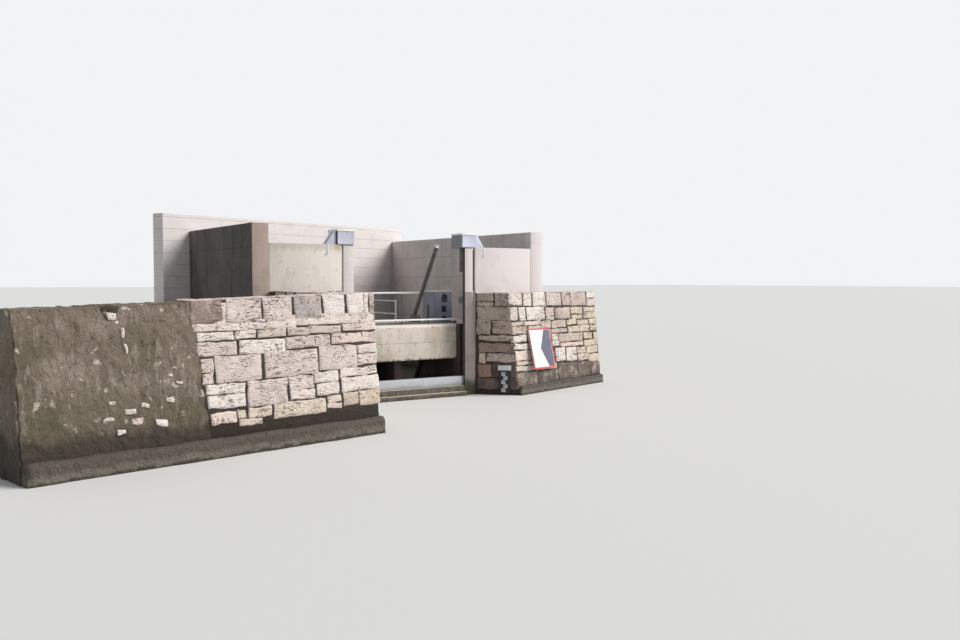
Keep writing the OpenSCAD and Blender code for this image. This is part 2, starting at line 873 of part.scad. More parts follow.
module left_wing_toe() {
    toe(wing, wing_turn, -wing_l, 0, left_toe_d, left_toe_h);
}

// Sign and staff gauge

// Upper left corner of the sign board, and its gap from the wall there
sign_x = 530;
sign_z = 1710;
sign_off = 38;
sign_t = 12;
sign_tilt = 0.7;
sign_edge = 60;
bracket_h = 40;
bracket_l = 300;
bracket_at = [0.2, 0.8];
gauge_x = 645;
gauge_z = 30;
gauge_t = 20;
gauge_off = 40;
lug_edge = 35;
lug_up = 90;
cap_side = 25;
cap_front = 30;
cap_high = 125;
splay_turn = atan2(-corner_y, corner_x - pier_x);

// The frame of the board: origin on the upper left corner of its front, -y towards the water
module on_board() {
    on_face(corner, face_turn) translate([sign_x, -sign_off - sign_t, sign_z])
        rotate([-sign_kick, 0, 0]) rotate([0, sign_tilt, 0]) children();
}

module sign_board() {
    color("white") on_board() translate([0, 0, -sign_h]) cube([sign_w, sign_t, sign_h]);
}

// Four struts from the wall to the back of the board
module sign_brackets() {
    color("silver") difference() {
        on_face(corner, face_turn)
            for (x = [sign_edge, sign_w - sign_edge - bracket_h], h = bracket_at)
                translate([sign_x + x, -bracket_l, sign_z - sign_h * h - bracket_h])
                    cube([bracket_h, bracket_l - seat, bracket_h]);
        on_board() translate([-big, -big, -big]) cube([2 * big, big + sign_t + seat, 2 * big]);
    }
}

module on_splay() {
    translate([pier_x, 0, 0]) rotate(splay_turn) children();
}

module staff_gauge() {
    color("black") on_splay() {
        block(gauge_x, gauge_x + gauge_w, -gauge_off - gauge_t, -gauge_off, gauge_z, gauge_z + gauge_h);
        for (z = [gauge_z + lug_up, gauge_z + gauge_h - lug_up - bracket_h])
            block(gauge_x + lug_edge, gauge_x + gauge_w - lug_edge, -gauge_off, -seat,
                  z, z + bracket_h);
    }
}

module gauge_cap() {
    z = gauge_z + gauge_h;
    color("gainsboro") on_splay()
        block(gauge_x - cap_side, gauge_x + gauge_w + cap_side, -gauge_off - gauge_t - cap_front,
              -seat, z, z + cap_high);
}

sill();
pier(-1);  // left_pier
pier(1);  // right_pier
breast_wall();
operating_deck();
deck_headwall();
bay_divider();
basin_floor();
front_parapet(-1);  // left_front_parapet
front_parapet(1);  // right_front_parapet
side_wall(-1);  // left_side_wall
side_wall(1);  // right_side_wall
back_wall();
guide_channel(-1);  // left_guide_channel
guide_channel(1);  // right_guide_channel
weir_leaf_skin();
weir_leaf_frame();
lift_stem(-1);  // left_lift_stem
lift_stem(1);  // right_lift_stem
hoist_base(-1);  // left_hoist_base
hoist_base(1);  // right_hoist_base
hoist_hood(-1);  // left_hoist_hood
hoist_hood(1);  // right_hoist_hood
hood_wing(-1);  // left_hood_wing
hood_wing(1);  // right_hood_wing
hood_strap(-1);  // left_hood_strap
hood_strap(1);  // right_hood_strap
stem_guard(-1);  // left_stem_guard
stem_guard(1);  // right_stem_guard
hoist_rack();
rack_cap();
hoist_frame();
hoist_pinion();
inclined_leaf();
inclined_guides();
toe_rail();
guard_rail();
side_rail();
cabinet_body();
cabinet_door();
cabinet_handle();
cabinet_rod();
junction_box();
right_abutment();
right_abutment_toe();
left_wing_stone();
left_wing_render();
left_return_wall();
left_wing_toe();
sign_board();
sign_brackets();
staff_gauge();
gauge_cap();
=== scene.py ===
# %% [markdown]
# # A sluice gate
# The solids of the gate come from OpenSCAD and stay where they are. This lesson gives them the
# look of weathered concrete, limestone masonry and painted steel. All lengths are in metres, in the
# frame of the gate: X along the gate, Y into the chamber, Z up from the foot of the walls.

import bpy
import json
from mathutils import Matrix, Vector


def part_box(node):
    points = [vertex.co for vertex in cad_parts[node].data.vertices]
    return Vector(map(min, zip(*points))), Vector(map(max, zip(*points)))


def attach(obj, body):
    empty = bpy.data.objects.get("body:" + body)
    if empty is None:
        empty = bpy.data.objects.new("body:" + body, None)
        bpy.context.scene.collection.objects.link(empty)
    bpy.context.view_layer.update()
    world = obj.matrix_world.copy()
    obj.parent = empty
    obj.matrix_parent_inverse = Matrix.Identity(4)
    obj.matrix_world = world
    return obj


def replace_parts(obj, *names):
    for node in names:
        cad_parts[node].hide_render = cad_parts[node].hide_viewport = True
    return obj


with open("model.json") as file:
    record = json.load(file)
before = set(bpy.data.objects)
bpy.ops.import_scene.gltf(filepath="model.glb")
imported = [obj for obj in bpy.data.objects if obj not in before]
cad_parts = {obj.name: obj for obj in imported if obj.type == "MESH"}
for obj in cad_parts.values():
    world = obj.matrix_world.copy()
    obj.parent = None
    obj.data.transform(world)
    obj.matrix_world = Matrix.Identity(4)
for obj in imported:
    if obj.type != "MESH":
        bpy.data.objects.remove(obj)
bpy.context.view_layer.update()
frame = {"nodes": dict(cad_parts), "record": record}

# %% The tools of the lesson
import json
import math
import random

import bmesh
import bpy
from mathutils import Matrix, Vector, noise

random.seed(7)
noise.seed_set(7)
STRUCTURE = "structure"

# %% [markdown]
# ## Colours and finishes
# A real surface is one base colour under several thin layers: dust, damp, streaks, chips.
# Each finish here is a Principled shader, over which masks lay further colours. The masks read
# Object coordinates, which are metres in the gate's frame, so a pattern keeps its real scale and
# runs on from one piece to the next.

# %% A colour as it looks, and a finish to start from
def paint(r, g, b):
    """A colour as it looks on a screen, turned into the light values that a shader takes."""
    return tuple(((c + 0.055) / 1.055) ** 2.4 if c > 0.04 else c / 12.92 for c in (r, g, b))


def new_finish(name, colour, roughness, metallic=0.0):
    finish = bpy.data.materials.new(name)
    finish.use_nodes = True
    shader = shader_of(finish)
    shader.inputs["Base Color"].default_value = (*colour, 1)
    shader.inputs["Roughness"].default_value = roughness
    shader.inputs["Metallic"].default_value = metallic
    return finish


def shader_of(finish):
    return finish.node_tree.nodes["Principled BSDF"]


def new_node(finish, kind):
    return finish.node_tree.nodes.new("ShaderNode" + kind)


def wire(finish, output, socket):
    finish.node_tree.links.new(output, socket)


# %% Where a point of the surface is
def place_of(finish, stretch=(1, 1, 1), shift=(0, 0, 0)):
    """The surface point in metres, squeezed along the axes by stretch."""
    point = new_node(finish, "TexCoord")
    mapping = new_node(finish, "Mapping")
    mapping.inputs["Scale"].default_value = stretch
    mapping.inputs["Location"].default_value = shift
    wire(finish, point.outputs["Object"], mapping.inputs["Vector"])
    return mapping.outputs["Vector"]


def ramp(finish, value, low, high, to_low=0.0, to_high=1.0):
    """A mask that climbs smoothly from to_low to to_high while value goes from low to high."""
    node = new_node(finish, "MapRange")
    node.interpolation_type = "SMOOTHSTEP"
    for socket, number in zip(node.inputs[1:5], (low, high, to_low, to_high)):
        socket.default_value = number
    wire(finish, value, node.inputs[0])
    return node.outputs[0]


# %% Masks: clouds, cells and heights
def clouds(finish, scale, low=0.42, high=0.62, stretch=(1, 1, 1), shift=(0, 0, 0), detail=4.0,
           amount=1.0):
    """Soft patches. A small stretch along Z draws them out into streaks that run down a wall."""
    node = new_node(finish, "TexNoise")
    node.inputs["Scale"].default_value = scale
    node.inputs["Detail"].default_value = detail
    node.inputs["Roughness"].default_value = 0.6
    wire(finish, place_of(finish, stretch, shift), node.inputs["Vector"])
    return ramp(finish, node.outputs["Fac"], low, high, 0.0, amount)


def cells(finish, scale, low, high):
    """Pinholes: dark near the middle of each cell."""
    node = new_node(finish, "TexVoronoi")
    node.inputs["Scale"].default_value = scale
    wire(finish, place_of(finish), node.inputs["Vector"])
    return ramp(finish, node.outputs["Distance"], low, high)


def combine(finish, first, second):
    """A mask that is bright only where both are."""
    node = new_node(finish, "Math")
    node.operation = "MULTIPLY"
    node.use_clamp = True
    wire(finish, first, node.inputs[0])
    wire(finish, second, node.inputs[1])
    return node.outputs[0]


def height(finish, low, high, wobble=0.15, scale=1.6, amount=1.0):
    """A mask that goes from low to high above the foot of the walls, with an uneven line."""
    split = new_node(finish, "SeparateXYZ")
    wire(finish, place_of(finish), split.inputs[0])
    wave = clouds(finish, scale, 0.3, 0.7, stretch=(1, 1, 0.4), amount=2 * wobble)
    shifted = new_node(finish, "Math")
    shifted.operation = "ADD"
    wire(finish, split.outputs["Z"], shifted.inputs[0])
    wire(finish, wave, shifted.inputs[1])
    return ramp(finish, shifted.outputs[0], low + wobble, high + wobble, 0.0, amount)


# %% Lay a colour, a sheen or a relief over a finish
def lay(finish, mask, colour):
    """Covers the colour so far with another one where the mask is bright."""
    base = shader_of(finish).inputs["Base Color"]
    mix = new_node(finish, "Mix")
    mix.data_type = "RGBA"
    if base.is_linked:
        wire(finish, base.links[0].from_socket, mix.inputs[6])
    else:
        mix.inputs[6].default_value = base.default_value
    mix.inputs[7].default_value = (*colour, 1)
    wire(finish, mask, mix.inputs[0])
    wire(finish, mix.outputs[2], base)


def sheen(finish, mask, dull, glossy):
    """Roughness dull where the mask is dark and glossy where it is bright."""
    wire(finish, ramp(finish, mask, 0, 1, dull, glossy), shader_of(finish).inputs["Roughness"])


def relief(finish, mask, depth):
    """Raises the surface by depth metres where the mask is bright."""
    bump = new_node(finish, "Bump")
    bump.inputs["Distance"].default_value = depth
    normal = shader_of(finish).inputs["Normal"]
    if normal.is_linked:
        wire(finish, normal.links[0].from_socket, bump.inputs["Normal"])
    wire(finish, mask, bump.inputs["Height"])
    wire(finish, bump.outputs["Normal"], normal)


# %% Soft patches, belts by height and roughness, in one go
def mottle(finish, colour, *where, **how):
    """Patches of a colour; what follows is what clouds() takes."""
    lay(finish, clouds(finish, *where, **how), colour)


def belt(finish, colour, *where, **how):
    """A colour below or above a height; what follows is what height() takes."""
    lay(finish, height(finish, *where, **how), colour)


def coarsen(finish, depth, *where, **how):
    """Bumps that are depth metres high, in the pattern of clouds()."""
    relief(finish, clouds(finish, *where, **how), depth)


# %% [markdown]
# ## Concrete
# The chamber was cast against smooth panels, so its walls show fine seams at the panel edges, lines
# between two pours, pinholes, and streaks below the tops. Near the foot they are damp and green.
# One recipe with different colours makes the grey walls, the pale fronts and the wet floor.

# %% Seams between the formwork panels
PANEL_SEAM = 0.006


def seams(finish, wide, high):
    """Fine lines in a grid of wide by high metres, on walls along X and along Y alike."""
    split = new_node(finish, "SeparateXYZ")
    wire(finish, place_of(finish, shift=(wide / 2, 0, 0)), split.inputs[0])
    across = new_node(finish, "Math")
    wire(finish, split.outputs["X"], across.inputs[0])
    wire(finish, split.outputs["Y"], across.inputs[1])
    flat = new_node(finish, "CombineXYZ")
    wire(finish, across.outputs[0], flat.inputs["X"])
    wire(finish, split.outputs["Z"], flat.inputs["Y"])
    brick = new_node(finish, "TexBrick")
    brick.offset = 0
    for socket, number in (("Scale", 1), ("Mortar Size", PANEL_SEAM), ("Mortar Smooth", 0.4),
                           ("Brick Width", wide), ("Row Height", high)):
        brick.inputs[socket].default_value = number
    wire(finish, flat.outputs[0], brick.inputs["Vector"])
    return brick.outputs["Fac"]


def concrete(name, colour, dark, light, panel=(2.4, 1.25), foot=0.9, streak=0.5, rough=0.003):
    colour, dark, light = paint(*colour), paint(*dark), paint(*light)
    finish = new_finish(name, colour, 0.88)
    mottle(finish, light, 0.8, 0.35, 0.7, detail=5, amount=0.55)
    mottle(finish, dark, 2.3, 0.5, 0.72, shift=(3, 1, 0), amount=0.45)
    mottle(finish, dark, 5.5, 0.5, 0.75, stretch=(1, 1, 0.09), amount=streak)
    mottle(finish, dark, 60, 0.45, 0.75, detail=2, amount=0.25)
    lay(finish, combine(finish, seams(finish, *panel), clouds(finish, 3, 0.3, 0.6)),
        tuple(0.75 * c for c in dark))
    belt(finish, tuple(0.45 * c for c in dark), foot, 0.25, 0.2)
    belt(finish, paint(0.27, 0.27, 0.2), 0.5, 0.05, 0.12, scale=3, amount=0.8)
    relief(finish, seams(finish, *panel), -0.004)
    coarsen(finish, rough, 22, 0.3, 0.8, detail=6)
    relief(finish, cells(finish, 38, 0.0, 0.09), rough / 2)
    return finish


# %% The concretes of the gate
concrete_grey = concrete("concrete_grey", (0.78, 0.755, 0.74), (0.6, 0.58, 0.56),
                         (0.83, 0.81, 0.79), panel=(3.1, 0.62))
concrete_pale = concrete("concrete_pale", (0.845, 0.815, 0.81), (0.76, 0.73, 0.72),
                         (0.87, 0.845, 0.84), panel=(9, 9), foot=0.5, streak=0.08, rough=0.001)
parapet_left = concrete("parapet_left", (0.82, 0.79, 0.765), (0.69, 0.66, 0.62),
                        (0.86, 0.84, 0.82), panel=(9, 2.2), foot=0.5, streak=0.15, rough=0.001)
side_pale = concrete("side_pale", (0.845, 0.82, 0.81), (0.765, 0.74, 0.725), (0.865, 0.845, 0.84),
                     panel=(9, 0.31), streak=0.15, rough=0.001)
# Painted shade: the back wall gets darker below 3.5 m, where the side walls shade it.
belt(side_pale, paint(0.74, 0.7, 0.69), 3.5, 2.5, 0.3, amount=0.15)
# Painted shadow: a darker brown for the front end of the left side wall.
end_painted_shadow = concrete("end_painted_shadow", (0.62, 0.56, 0.52), (0.44, 0.37, 0.33), (0.72, 0.67, 0.62),
                     panel=(9, 9), streak=0.5)
pier_grey = concrete("pier_grey", (0.6, 0.56, 0.535), (0.46, 0.425, 0.395), (0.66, 0.62, 0.595),
                     panel=(2.0, 3.0), foot=0.5, streak=0.6)
belt(pier_grey, paint(0.81, 0.78, 0.77), 2.685, 2.695, 0.003)
# Painted shade: dark, mottled concrete for the outer face of the left side wall.
concrete_painted_shade = concrete("concrete_painted_shade", (0.3, 0.285, 0.27), (0.17, 0.16, 0.145),
                         (0.4, 0.385, 0.37), foot=0.6, streak=0.9)
concrete_wet = concrete("concrete_wet", (0.29, 0.24, 0.23), (0.19, 0.16, 0.15), (0.34, 0.29, 0.28),
                        foot=0.3, streak=0.6)
basin_grey = concrete("basin_grey", (0.36, 0.34, 0.32), (0.24, 0.23, 0.21), (0.42, 0.4, 0.37),
                      foot=0.3, streak=0.6)
print("concretes:", concrete_grey.name, concrete_pale.name, concrete_wet.name)

# %% [markdown]
# A few marks belong to one place: rust under a fixing, a damp patch below a hood. A spot is a mask
# around one point of the gate, with an uneven rim.

# %% A stain around one point
def spot(finish, centre, radius, stretch):
    shift = tuple(-c * f for c, f in zip(centre, stretch))
    far = new_node(finish, "VectorMath")
    far.operation = "LENGTH"
    wire(finish, place_of(finish, stretch, shift), far.inputs[0])
    round_mask = ramp(finish, far.outputs["Value"], radius, 0.2 * radius, 0.0, 0.7)
    return combine(finish, round_mask, clouds(finish, 14, 0.35, 0.6, detail=7))


lay(parapet_left, spot(parapet_left, (-2.0, -0.02, 3.8), 0.16, (1, 1, 0.7)),
    paint(0.52, 0.36, 0.25))
mottle(parapet_left, paint(0.74, 0.74, 0.64), 1.4, 0.5, 0.66, stretch=(1, 1, 0.5), shift=(2, 0, 5),
       amount=0.3)
mottle(parapet_left, paint(0.66, 0.6, 0.53), 6, 0.55, 0.7, detail=7, amount=0.5)
belt(parapet_left, paint(0.6, 0.55, 0.47), 3.62, 3.78, 0.05, scale=9, amount=0.35)

# %% [markdown]
# The wall over the leaf is the most stained. It is beige, with a cream top edge, a pour line at mid
# height, brown and green patches, and a dark ragged drip edge.

# %% Stained concrete over the leaf
concrete_stained = concrete("concrete_stained", (0.815, 0.78, 0.735), (0.71, 0.665, 0.61),
                            (0.88, 0.855, 0.82), panel=(90, 0.462), foot=0.3, streak=0.3)
mottle(concrete_stained, paint(0.66, 0.59, 0.515), 1.5, 0.5, 0.68, stretch=(1, 1, 0.5),
       shift=(5, 0, 2), amount=0.45)
mottle(concrete_stained, paint(0.66, 0.64, 0.55), 2.1, 0.56, 0.7, stretch=(1, 1, 0.4),
       shift=(1, 4, 7), amount=0.35)
mottle(concrete_stained, paint(0.6, 0.54, 0.46), 7, 0.54, 0.68, detail=8, amount=0.5)
belt(concrete_stained, paint(0.4, 0.345, 0.285), 0.985, 0.955, 0.035, scale=11, amount=0.8)
belt(concrete_stained, paint(0.93, 0.9, 0.855), 1.77, 1.8, 0.015, scale=5, amount=0.85)

# %% Sill
sill_cream = new_finish("sill_cream", paint(0.74, 0.7, 0.62), 0.8)
mottle(sill_cream, paint(0.56, 0.51, 0.43), 6, 0.45, 0.65, detail=6, amount=0.6)
sill_wet = new_finish("sill_wet", paint(0.26, 0.235, 0.2), 0.5)
mottle(sill_wet, paint(0.42, 0.38, 0.32), 7, 0.45, 0.65, detail=6, amount=0.7)
coarsen(sill_wet, 0.006, 20, 0.3, 0.8, detail=6)

# %% [markdown]
# ## Stone, mortar and render
# Each limestone block is a mesh of its own, with its own tint in a colour attribute, so one finish
# serves all of them. The attribute is the base colour, and the finish adds what every block has:
# bedding lines, pits, dark weathering and a fine grain.

# %% Limestone that takes its tint from the block
def stone(name, pale, stain, speck, pale_amount=0.35):
    pale, stain, speck = paint(*pale), paint(*stain), paint(*speck)
    finish = new_finish(name, stain, 0.9)
    tint = new_node(finish, "Attribute")
    tint.attribute_name = "tint"
    wire(finish, tint.outputs["Color"], shader_of(finish).inputs["Base Color"])
    mottle(finish, pale, 3.2, 0.46, 0.68, shift=(2, 9, 4), amount=pale_amount)
    mottle(finish, stain, 4.5, 0.5, 0.7, stretch=(1, 1, 2.2), detail=6, amount=0.4)
    mottle(finish, stain, 40, 0.5, 0.66, detail=3, amount=0.4)
    where = clouds(finish, 2.6, 0.44, 0.6, shift=(7, 3, 1), detail=8)
    pits = combine(finish, clouds(finish, 19, 0.555, 0.625, stretch=(1, 1, 2.1), detail=6), where)
    lay(finish, ramp(finish, pits, 0, 1, 0, 0.9), speck)
    beds = combine(finish, clouds(finish, 6.5, 0.56, 0.61, stretch=(1, 1, 5.5), detail=8),
                   clouds(finish, 1.7, 0.4, 0.6, shift=(4, 1, 6)))
    lay(finish, ramp(finish, beds, 0, 1, 0, 0.8), speck)
    coarsen(finish, 0.014, 12, 0.3, 0.75, stretch=(1, 1, 3), detail=8)
    relief(finish, pits, -0.012)
    relief(finish, beds, -0.01)
    coarsen(finish, 0.003, 70, 0.35, 0.7, detail=4)
    return finish


limestone = stone("limestone", (0.965, 0.915, 0.885), (0.7, 0.63, 0.585), (0.34, 0.28, 0.25))
limestone_dark = stone("limestone_dark", (0.66, 0.61, 0.57), (0.42, 0.37, 0.335),
                       (0.24, 0.205, 0.18), 0.3)

# %% Mortar and hearting behind the blocks
mortar = new_finish("mortar", paint(0.25, 0.21, 0.185), 0.95)
mottle(mortar, paint(0.44, 0.39, 0.35), 6, 0.5, 0.7, amount=0.3)
mottle(mortar, paint(0.24, 0.2, 0.17), 18, 0.55, 0.7, amount=0.8)
belt(mortar, paint(0.21, 0.178, 0.155), 0.66, 0.5, 0.06)
coarsen(mortar, 0.015, 25, 0.3, 0.8, detail=8)

mortar_top = new_finish("mortar_top", paint(0.66, 0.615, 0.57), 0.95)
mottle(mortar_top, paint(0.55, 0.5, 0.45), 2.5, 0.45, 0.65, detail=8, amount=0.7)
mottle(mortar_top, paint(0.42, 0.37, 0.33), 15, 0.52, 0.66, detail=6, amount=0.7)
coarsen(mortar_top, 0.015, 18, 0.3, 0.8, detail=8)

# %% Render coat and wet toe
render_coat = new_finish("render_coat", paint(0.475, 0.43, 0.375), 0.95)
mottle(render_coat, paint(0.37, 0.335, 0.265), 0.9, 0.42, 0.62, detail=9, amount=0.8)
mottle(render_coat, paint(0.57, 0.52, 0.475), 1.6, 0.52, 0.66, shift=(5, 2, 8), detail=9,
       amount=0.8)
mottle(render_coat, paint(0.38, 0.34, 0.285), 9, 0.48, 0.64, stretch=(1, 1, 0.1), detail=7,
       amount=0.55)
mottle(render_coat, paint(0.62, 0.58, 0.54), 11, 0.52, 0.66, stretch=(1, 1, 0.22), shift=(3, 3, 3),
       detail=8, amount=0.5)
mottle(render_coat, paint(0.78, 0.73, 0.69), 5, 0.61, 0.65, shift=(8, 1, 2), detail=10, amount=0.9)
mottle(render_coat, paint(0.3, 0.265, 0.22), 45, 0.46, 0.64, detail=6, amount=0.5)
mottle(render_coat, paint(0.27, 0.24, 0.185), 10, 0.58, 0.66, shift=(1, 5, 4), detail=9,
       amount=0.75)
belt(render_coat, paint(0.3, 0.28, 0.2), 1.6, 0.6, 0.3, scale=2, amount=0.4)
belt(render_coat, paint(0.24, 0.215, 0.18), 0.75, 0.45, 0.12)
coarsen(render_coat, 0.03, 7, 0.25, 0.8, detail=12)

wet_stone = new_finish("wet_stone", paint(0.41, 0.385, 0.345), 0.75)
mottle(wet_stone, paint(0.33, 0.305, 0.265), 3, 0.42, 0.66, detail=7, amount=0.6)
mottle(wet_stone, paint(0.53, 0.5, 0.46), 9, 0.55, 0.7, detail=8, amount=0.6)
belt(wet_stone, paint(0.25, 0.22, 0.185), 0.1, 0.2, 0.03, scale=4, amount=0.7)
belt(wet_stone, paint(0.2, 0.19, 0.145), 0.07, 0.02, 0.03, scale=4)
coarsen(wet_stone, 0.025, 14, 0.3, 0.8, detail=9)

# %% [markdown]
# ## Steel, sheet and paint
# Paint on outdoor steel chalks, chips and rusts at its edges, and collects dirt low down. A recipe
# with a base colour, a chalky second tone, dirt and a sparse rust mask serves all of it.

# %% A recipe for painted steel
def painted(name, colour, chalk, roughness, rust=0.35, metallic=0.0):
    colour, chalk = paint(*colour), paint(*chalk)
    finish = new_finish(name, colour, roughness, metallic)
    mottle(finish, chalk, 4, 0.4, 0.7, amount=0.5)
    mottle(finish, tuple(0.55 * c for c in colour), 9, 0.5, 0.75, stretch=(1, 1, 0.15),
           amount=0.35)
    mottle(finish, paint(0.42, 0.24, 0.14), 16, 0.66, 0.72, detail=7, amount=rust)
    sheen(finish, clouds(finish, 12, 0.3, 0.7), roughness + 0.12, roughness)
    coarsen(finish, 0.0006, 90, 0.3, 0.7, detail=2)
    return finish


guide_steel = painted("guide_steel", (0.44, 0.44, 0.46), (0.56, 0.56, 0.58), 0.6)
leaf_steel = painted("leaf_steel", (0.71, 0.73, 0.75), (0.77, 0.78, 0.8), 0.45, 0.25)
belt(leaf_steel, paint(0.5, 0.49, 0.44), 0.36, 0.28, 0.03, scale=5, amount=0.5)
stem_steel = painted("stem_steel", (0.35, 0.34, 0.34), (0.45, 0.44, 0.43), 0.35, 0.5, metallic=0.6)
hood_sheet = painted("hood_sheet", (0.78, 0.8, 0.865), (0.83, 0.845, 0.89), 0.4, 0.12)
hood_left = painted("hood_left", (0.745, 0.755, 0.81), (0.79, 0.795, 0.84), 0.4, 0.12)
# Painted shade for the sides of the right hood that face -X.
hood_painted_shade = painted("hood_painted_shade", (0.475, 0.485, 0.545), (0.53, 0.54, 0.59), 0.4, 0.1)
# White paint of the hood lids and the door lock; on the lid rims it is also a painted highlight.
lid_white_and_highlight = painted("lid_white_and_highlight", (0.93, 0.94, 0.95), (0.88, 0.89, 0.9), 0.35, 0.08)
shadow_gap = painted("shadow_gap", (0.07, 0.065, 0.065), (0.11, 0.1, 0.1), 0.7, 0)
dark_steel = painted("dark_steel", (0.31, 0.28, 0.285), (0.42, 0.38, 0.38), 0.55, 0.6)
white_paint = painted("white_paint", (0.93, 0.93, 0.925), (0.88, 0.88, 0.87), 0.35, 0.2)
galvanised = painted("galvanised", (0.66, 0.67, 0.68), (0.74, 0.75, 0.76), 0.4, 0.1, metallic=0.5)
cabinet_paint = painted("cabinet_paint", (0.5, 0.52, 0.57), (0.56, 0.58, 0.62), 0.5, 0.1)
black_plastic = painted("black_plastic", (0.06, 0.06, 0.065), (0.12, 0.12, 0.12), 0.5, 0)
sign_white = painted("sign_white", (0.93, 0.93, 0.93), (0.88, 0.89, 0.9), 0.4, 0.05)
sign_slate = painted("sign_slate", (0.33, 0.34, 0.42), (0.4, 0.41, 0.48), 0.45, 0)
sign_red = painted("sign_red", (0.78, 0.22, 0.2), (0.84, 0.36, 0.33), 0.45, 0)
gauge_black = painted("gauge_black", (0.08, 0.08, 0.09), (0.14, 0.14, 0.15), 0.4, 0)
gauge_cap_paint = painted("gauge_cap_paint", (0.8, 0.81, 0.82), (0.86, 0.86, 0.86), 0.5)
cabinet_roof = painted("cabinet_roof", (0.78, 0.79, 0.81), (0.84, 0.84, 0.85), 0.45, 0)
print("painted finishes ready")

# %% [markdown]
# ## Give the solids their finishes
# A solid straight from CAD has knife-sharp edges, which no cast wall or folded sheet has. So each
# solid is copied, its loose triangles are merged and joined into flat faces, and its edges get a
# small bevel that catches the light. The copy then stands for the solid.

# %% From a bmesh to a piece on a body
def mesh_from(bm, name):
    mesh = bpy.data.meshes.new(name)
    bm.to_mesh(mesh)
    bm.free()
    return mesh


def placed(name, data):
    thing = bpy.data.objects.new(name, data)
    bpy.context.collection.objects.link(thing)
    return thing


def piece_from(bm, name, body, slot, *finishes, crease=35):
    mesh = mesh_from(bm, name)
    for finish in finishes:
        mesh.materials.append(finish)
    for face in mesh.polygons:
        face.use_smooth = True
    mesh.set_sharp_from_angle(angle=math.radians(crease))
    piece = placed(name, mesh)
    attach(piece, body)
    return piece


def merged(node):
    """A bmesh of a solid's copy, with its triangles merged into flat faces."""
    bm = bmesh.new()
    bm.from_mesh(frame["nodes"][node].data)
    bmesh.ops.remove_doubles(bm, verts=bm.verts[:], dist=1e-5)
    bmesh.ops.dissolve_limit(bm, angle_limit=math.radians(0.5), verts=bm.verts[:],
                             edges=bm.edges[:])
    return bm


def bevel(bm, edges, width, segments):
    bmesh.ops.bevel(bm, geom=edges, offset=width, offset_type="OFFSET", segments=segments,
                    profile=0.5, affect="EDGES", clamp_overlap=True, material=-1)


def round_edges(bm, width):
    sharp = [e for e in bm.edges
             if len(e.link_faces) == 2 and e.calc_face_angle(0) > math.radians(30)]
    bevel(bm, sharp, width, 2)


# %% Which body and record slot each solid has
bodies = frame["record"]["behaviour"]["bodies"]
body_of_node = {node: body for body, nodes in bodies.items() for node in nodes}
slot_of_node = {s["node"]: s["material_slot"] for s in frame["record"]["subparts"]}


def dress(node, width, *finishes, second=None):
    """Replaces a solid by its copy with rounded edges. second(centre, normal) is the number of the
    finish that a face takes, counted from 0."""
    bm = merged(node)
    if second:
        for face in bm.faces:
            face.material_index = int(second(face.calc_center_median(), face.normal))
    round_edges(bm, width)
    piece = piece_from(bm, node + "_cast", body_of_node[node], slot_of_node[node], *finishes)
    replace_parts(piece, node)


# %% Cast pieces of one finish
cast = {
    concrete_grey: ("operating_deck",),
    side_pale: ("back_wall",),
    concrete_pale: ("right_front_parapet",),
    parapet_left: ("left_front_parapet",),
    basin_grey: ("basin_floor",),
    concrete_wet: ("bay_divider", "deck_headwall"),
    concrete_stained: ("breast_wall",),
}
for finish, nodes in cast.items():
    for node in nodes:
        dress(node, 0.015, finish)
print("cast pieces:", sum(len(nodes) for nodes in cast.values()))

# %% [markdown]
# Damp has blackened the sides of the piers that face the opening. The outer face of the left side
# wall is dark and mottled, a painted shade, and its front end is darkened by a painted shadow. These
# pieces take two finishes, shared out by where a face looks.

# %% Cast pieces of two finishes
dress("left_pier", 0.012, pier_grey, concrete_wet, second=lambda c, n: n.x > 0.9 or n.y > 0.9)
dress("right_pier", 0.012, pier_grey, concrete_wet, second=lambda c, n: n.x < -0.9 or n.y > 0.9)
# The left side wall's outer face takes a painted shade and its front end a painted shadow.
dress("left_side_wall", 0.015, concrete_grey, concrete_painted_shade, end_painted_shadow,
      second=lambda c, n: 2 * (n.y < -0.9) + (n.x < -0.9))
dress("right_side_wall", 0.015, concrete_grey, concrete_pale, second=lambda c, n: n.y < -0.9)
dress("sill", 0.012, sill_cream, sill_wet, second=lambda c, n: n.y < -0.9)

# %% Steel pieces
steel = {
    guide_steel: ("left_hoist_base", "right_hoist_base"),
    hood_sheet: ("left_hood_strap", "right_hood_strap"),
    leaf_steel: ("weir_leaf_skin", "weir_leaf_frame"),
    dark_steel: ("left_stem_guard", "right_stem_guard", "hoist_frame", "inclined_leaf",
                 "inclined_guides"),
    shadow_gap: ("left_guide_channel", "right_guide_channel"),
    white_paint: ("rack_cap",),
    galvanised: ("sign_brackets",),
    cabinet_paint: ("cabinet_door", "junction_box"),
    black_plastic: ("cabinet_handle", "cabinet_rod"),
    gauge_black: ("staff_gauge",),
    gauge_cap_paint: ("gauge_cap",),
}
for finish, nodes in steel.items():
    for node in nodes:
        dress(node, 0.004, finish)

plain = {dark_steel: ("hoist_rack",), guide_steel: ("hoist_pinion",),
         stem_steel: ("left_lift_stem", "right_lift_stem"),
         white_paint: ("guard_rail",), galvanised: ("side_rail",)}
for finish, nodes in plain.items():
    for node in nodes:
        for material_slot in frame["nodes"][node].material_slots:
            material_slot.material = finish
print("steel pieces:", sum(len(nodes) for nodes in (*steel.values(), *plain.values())))
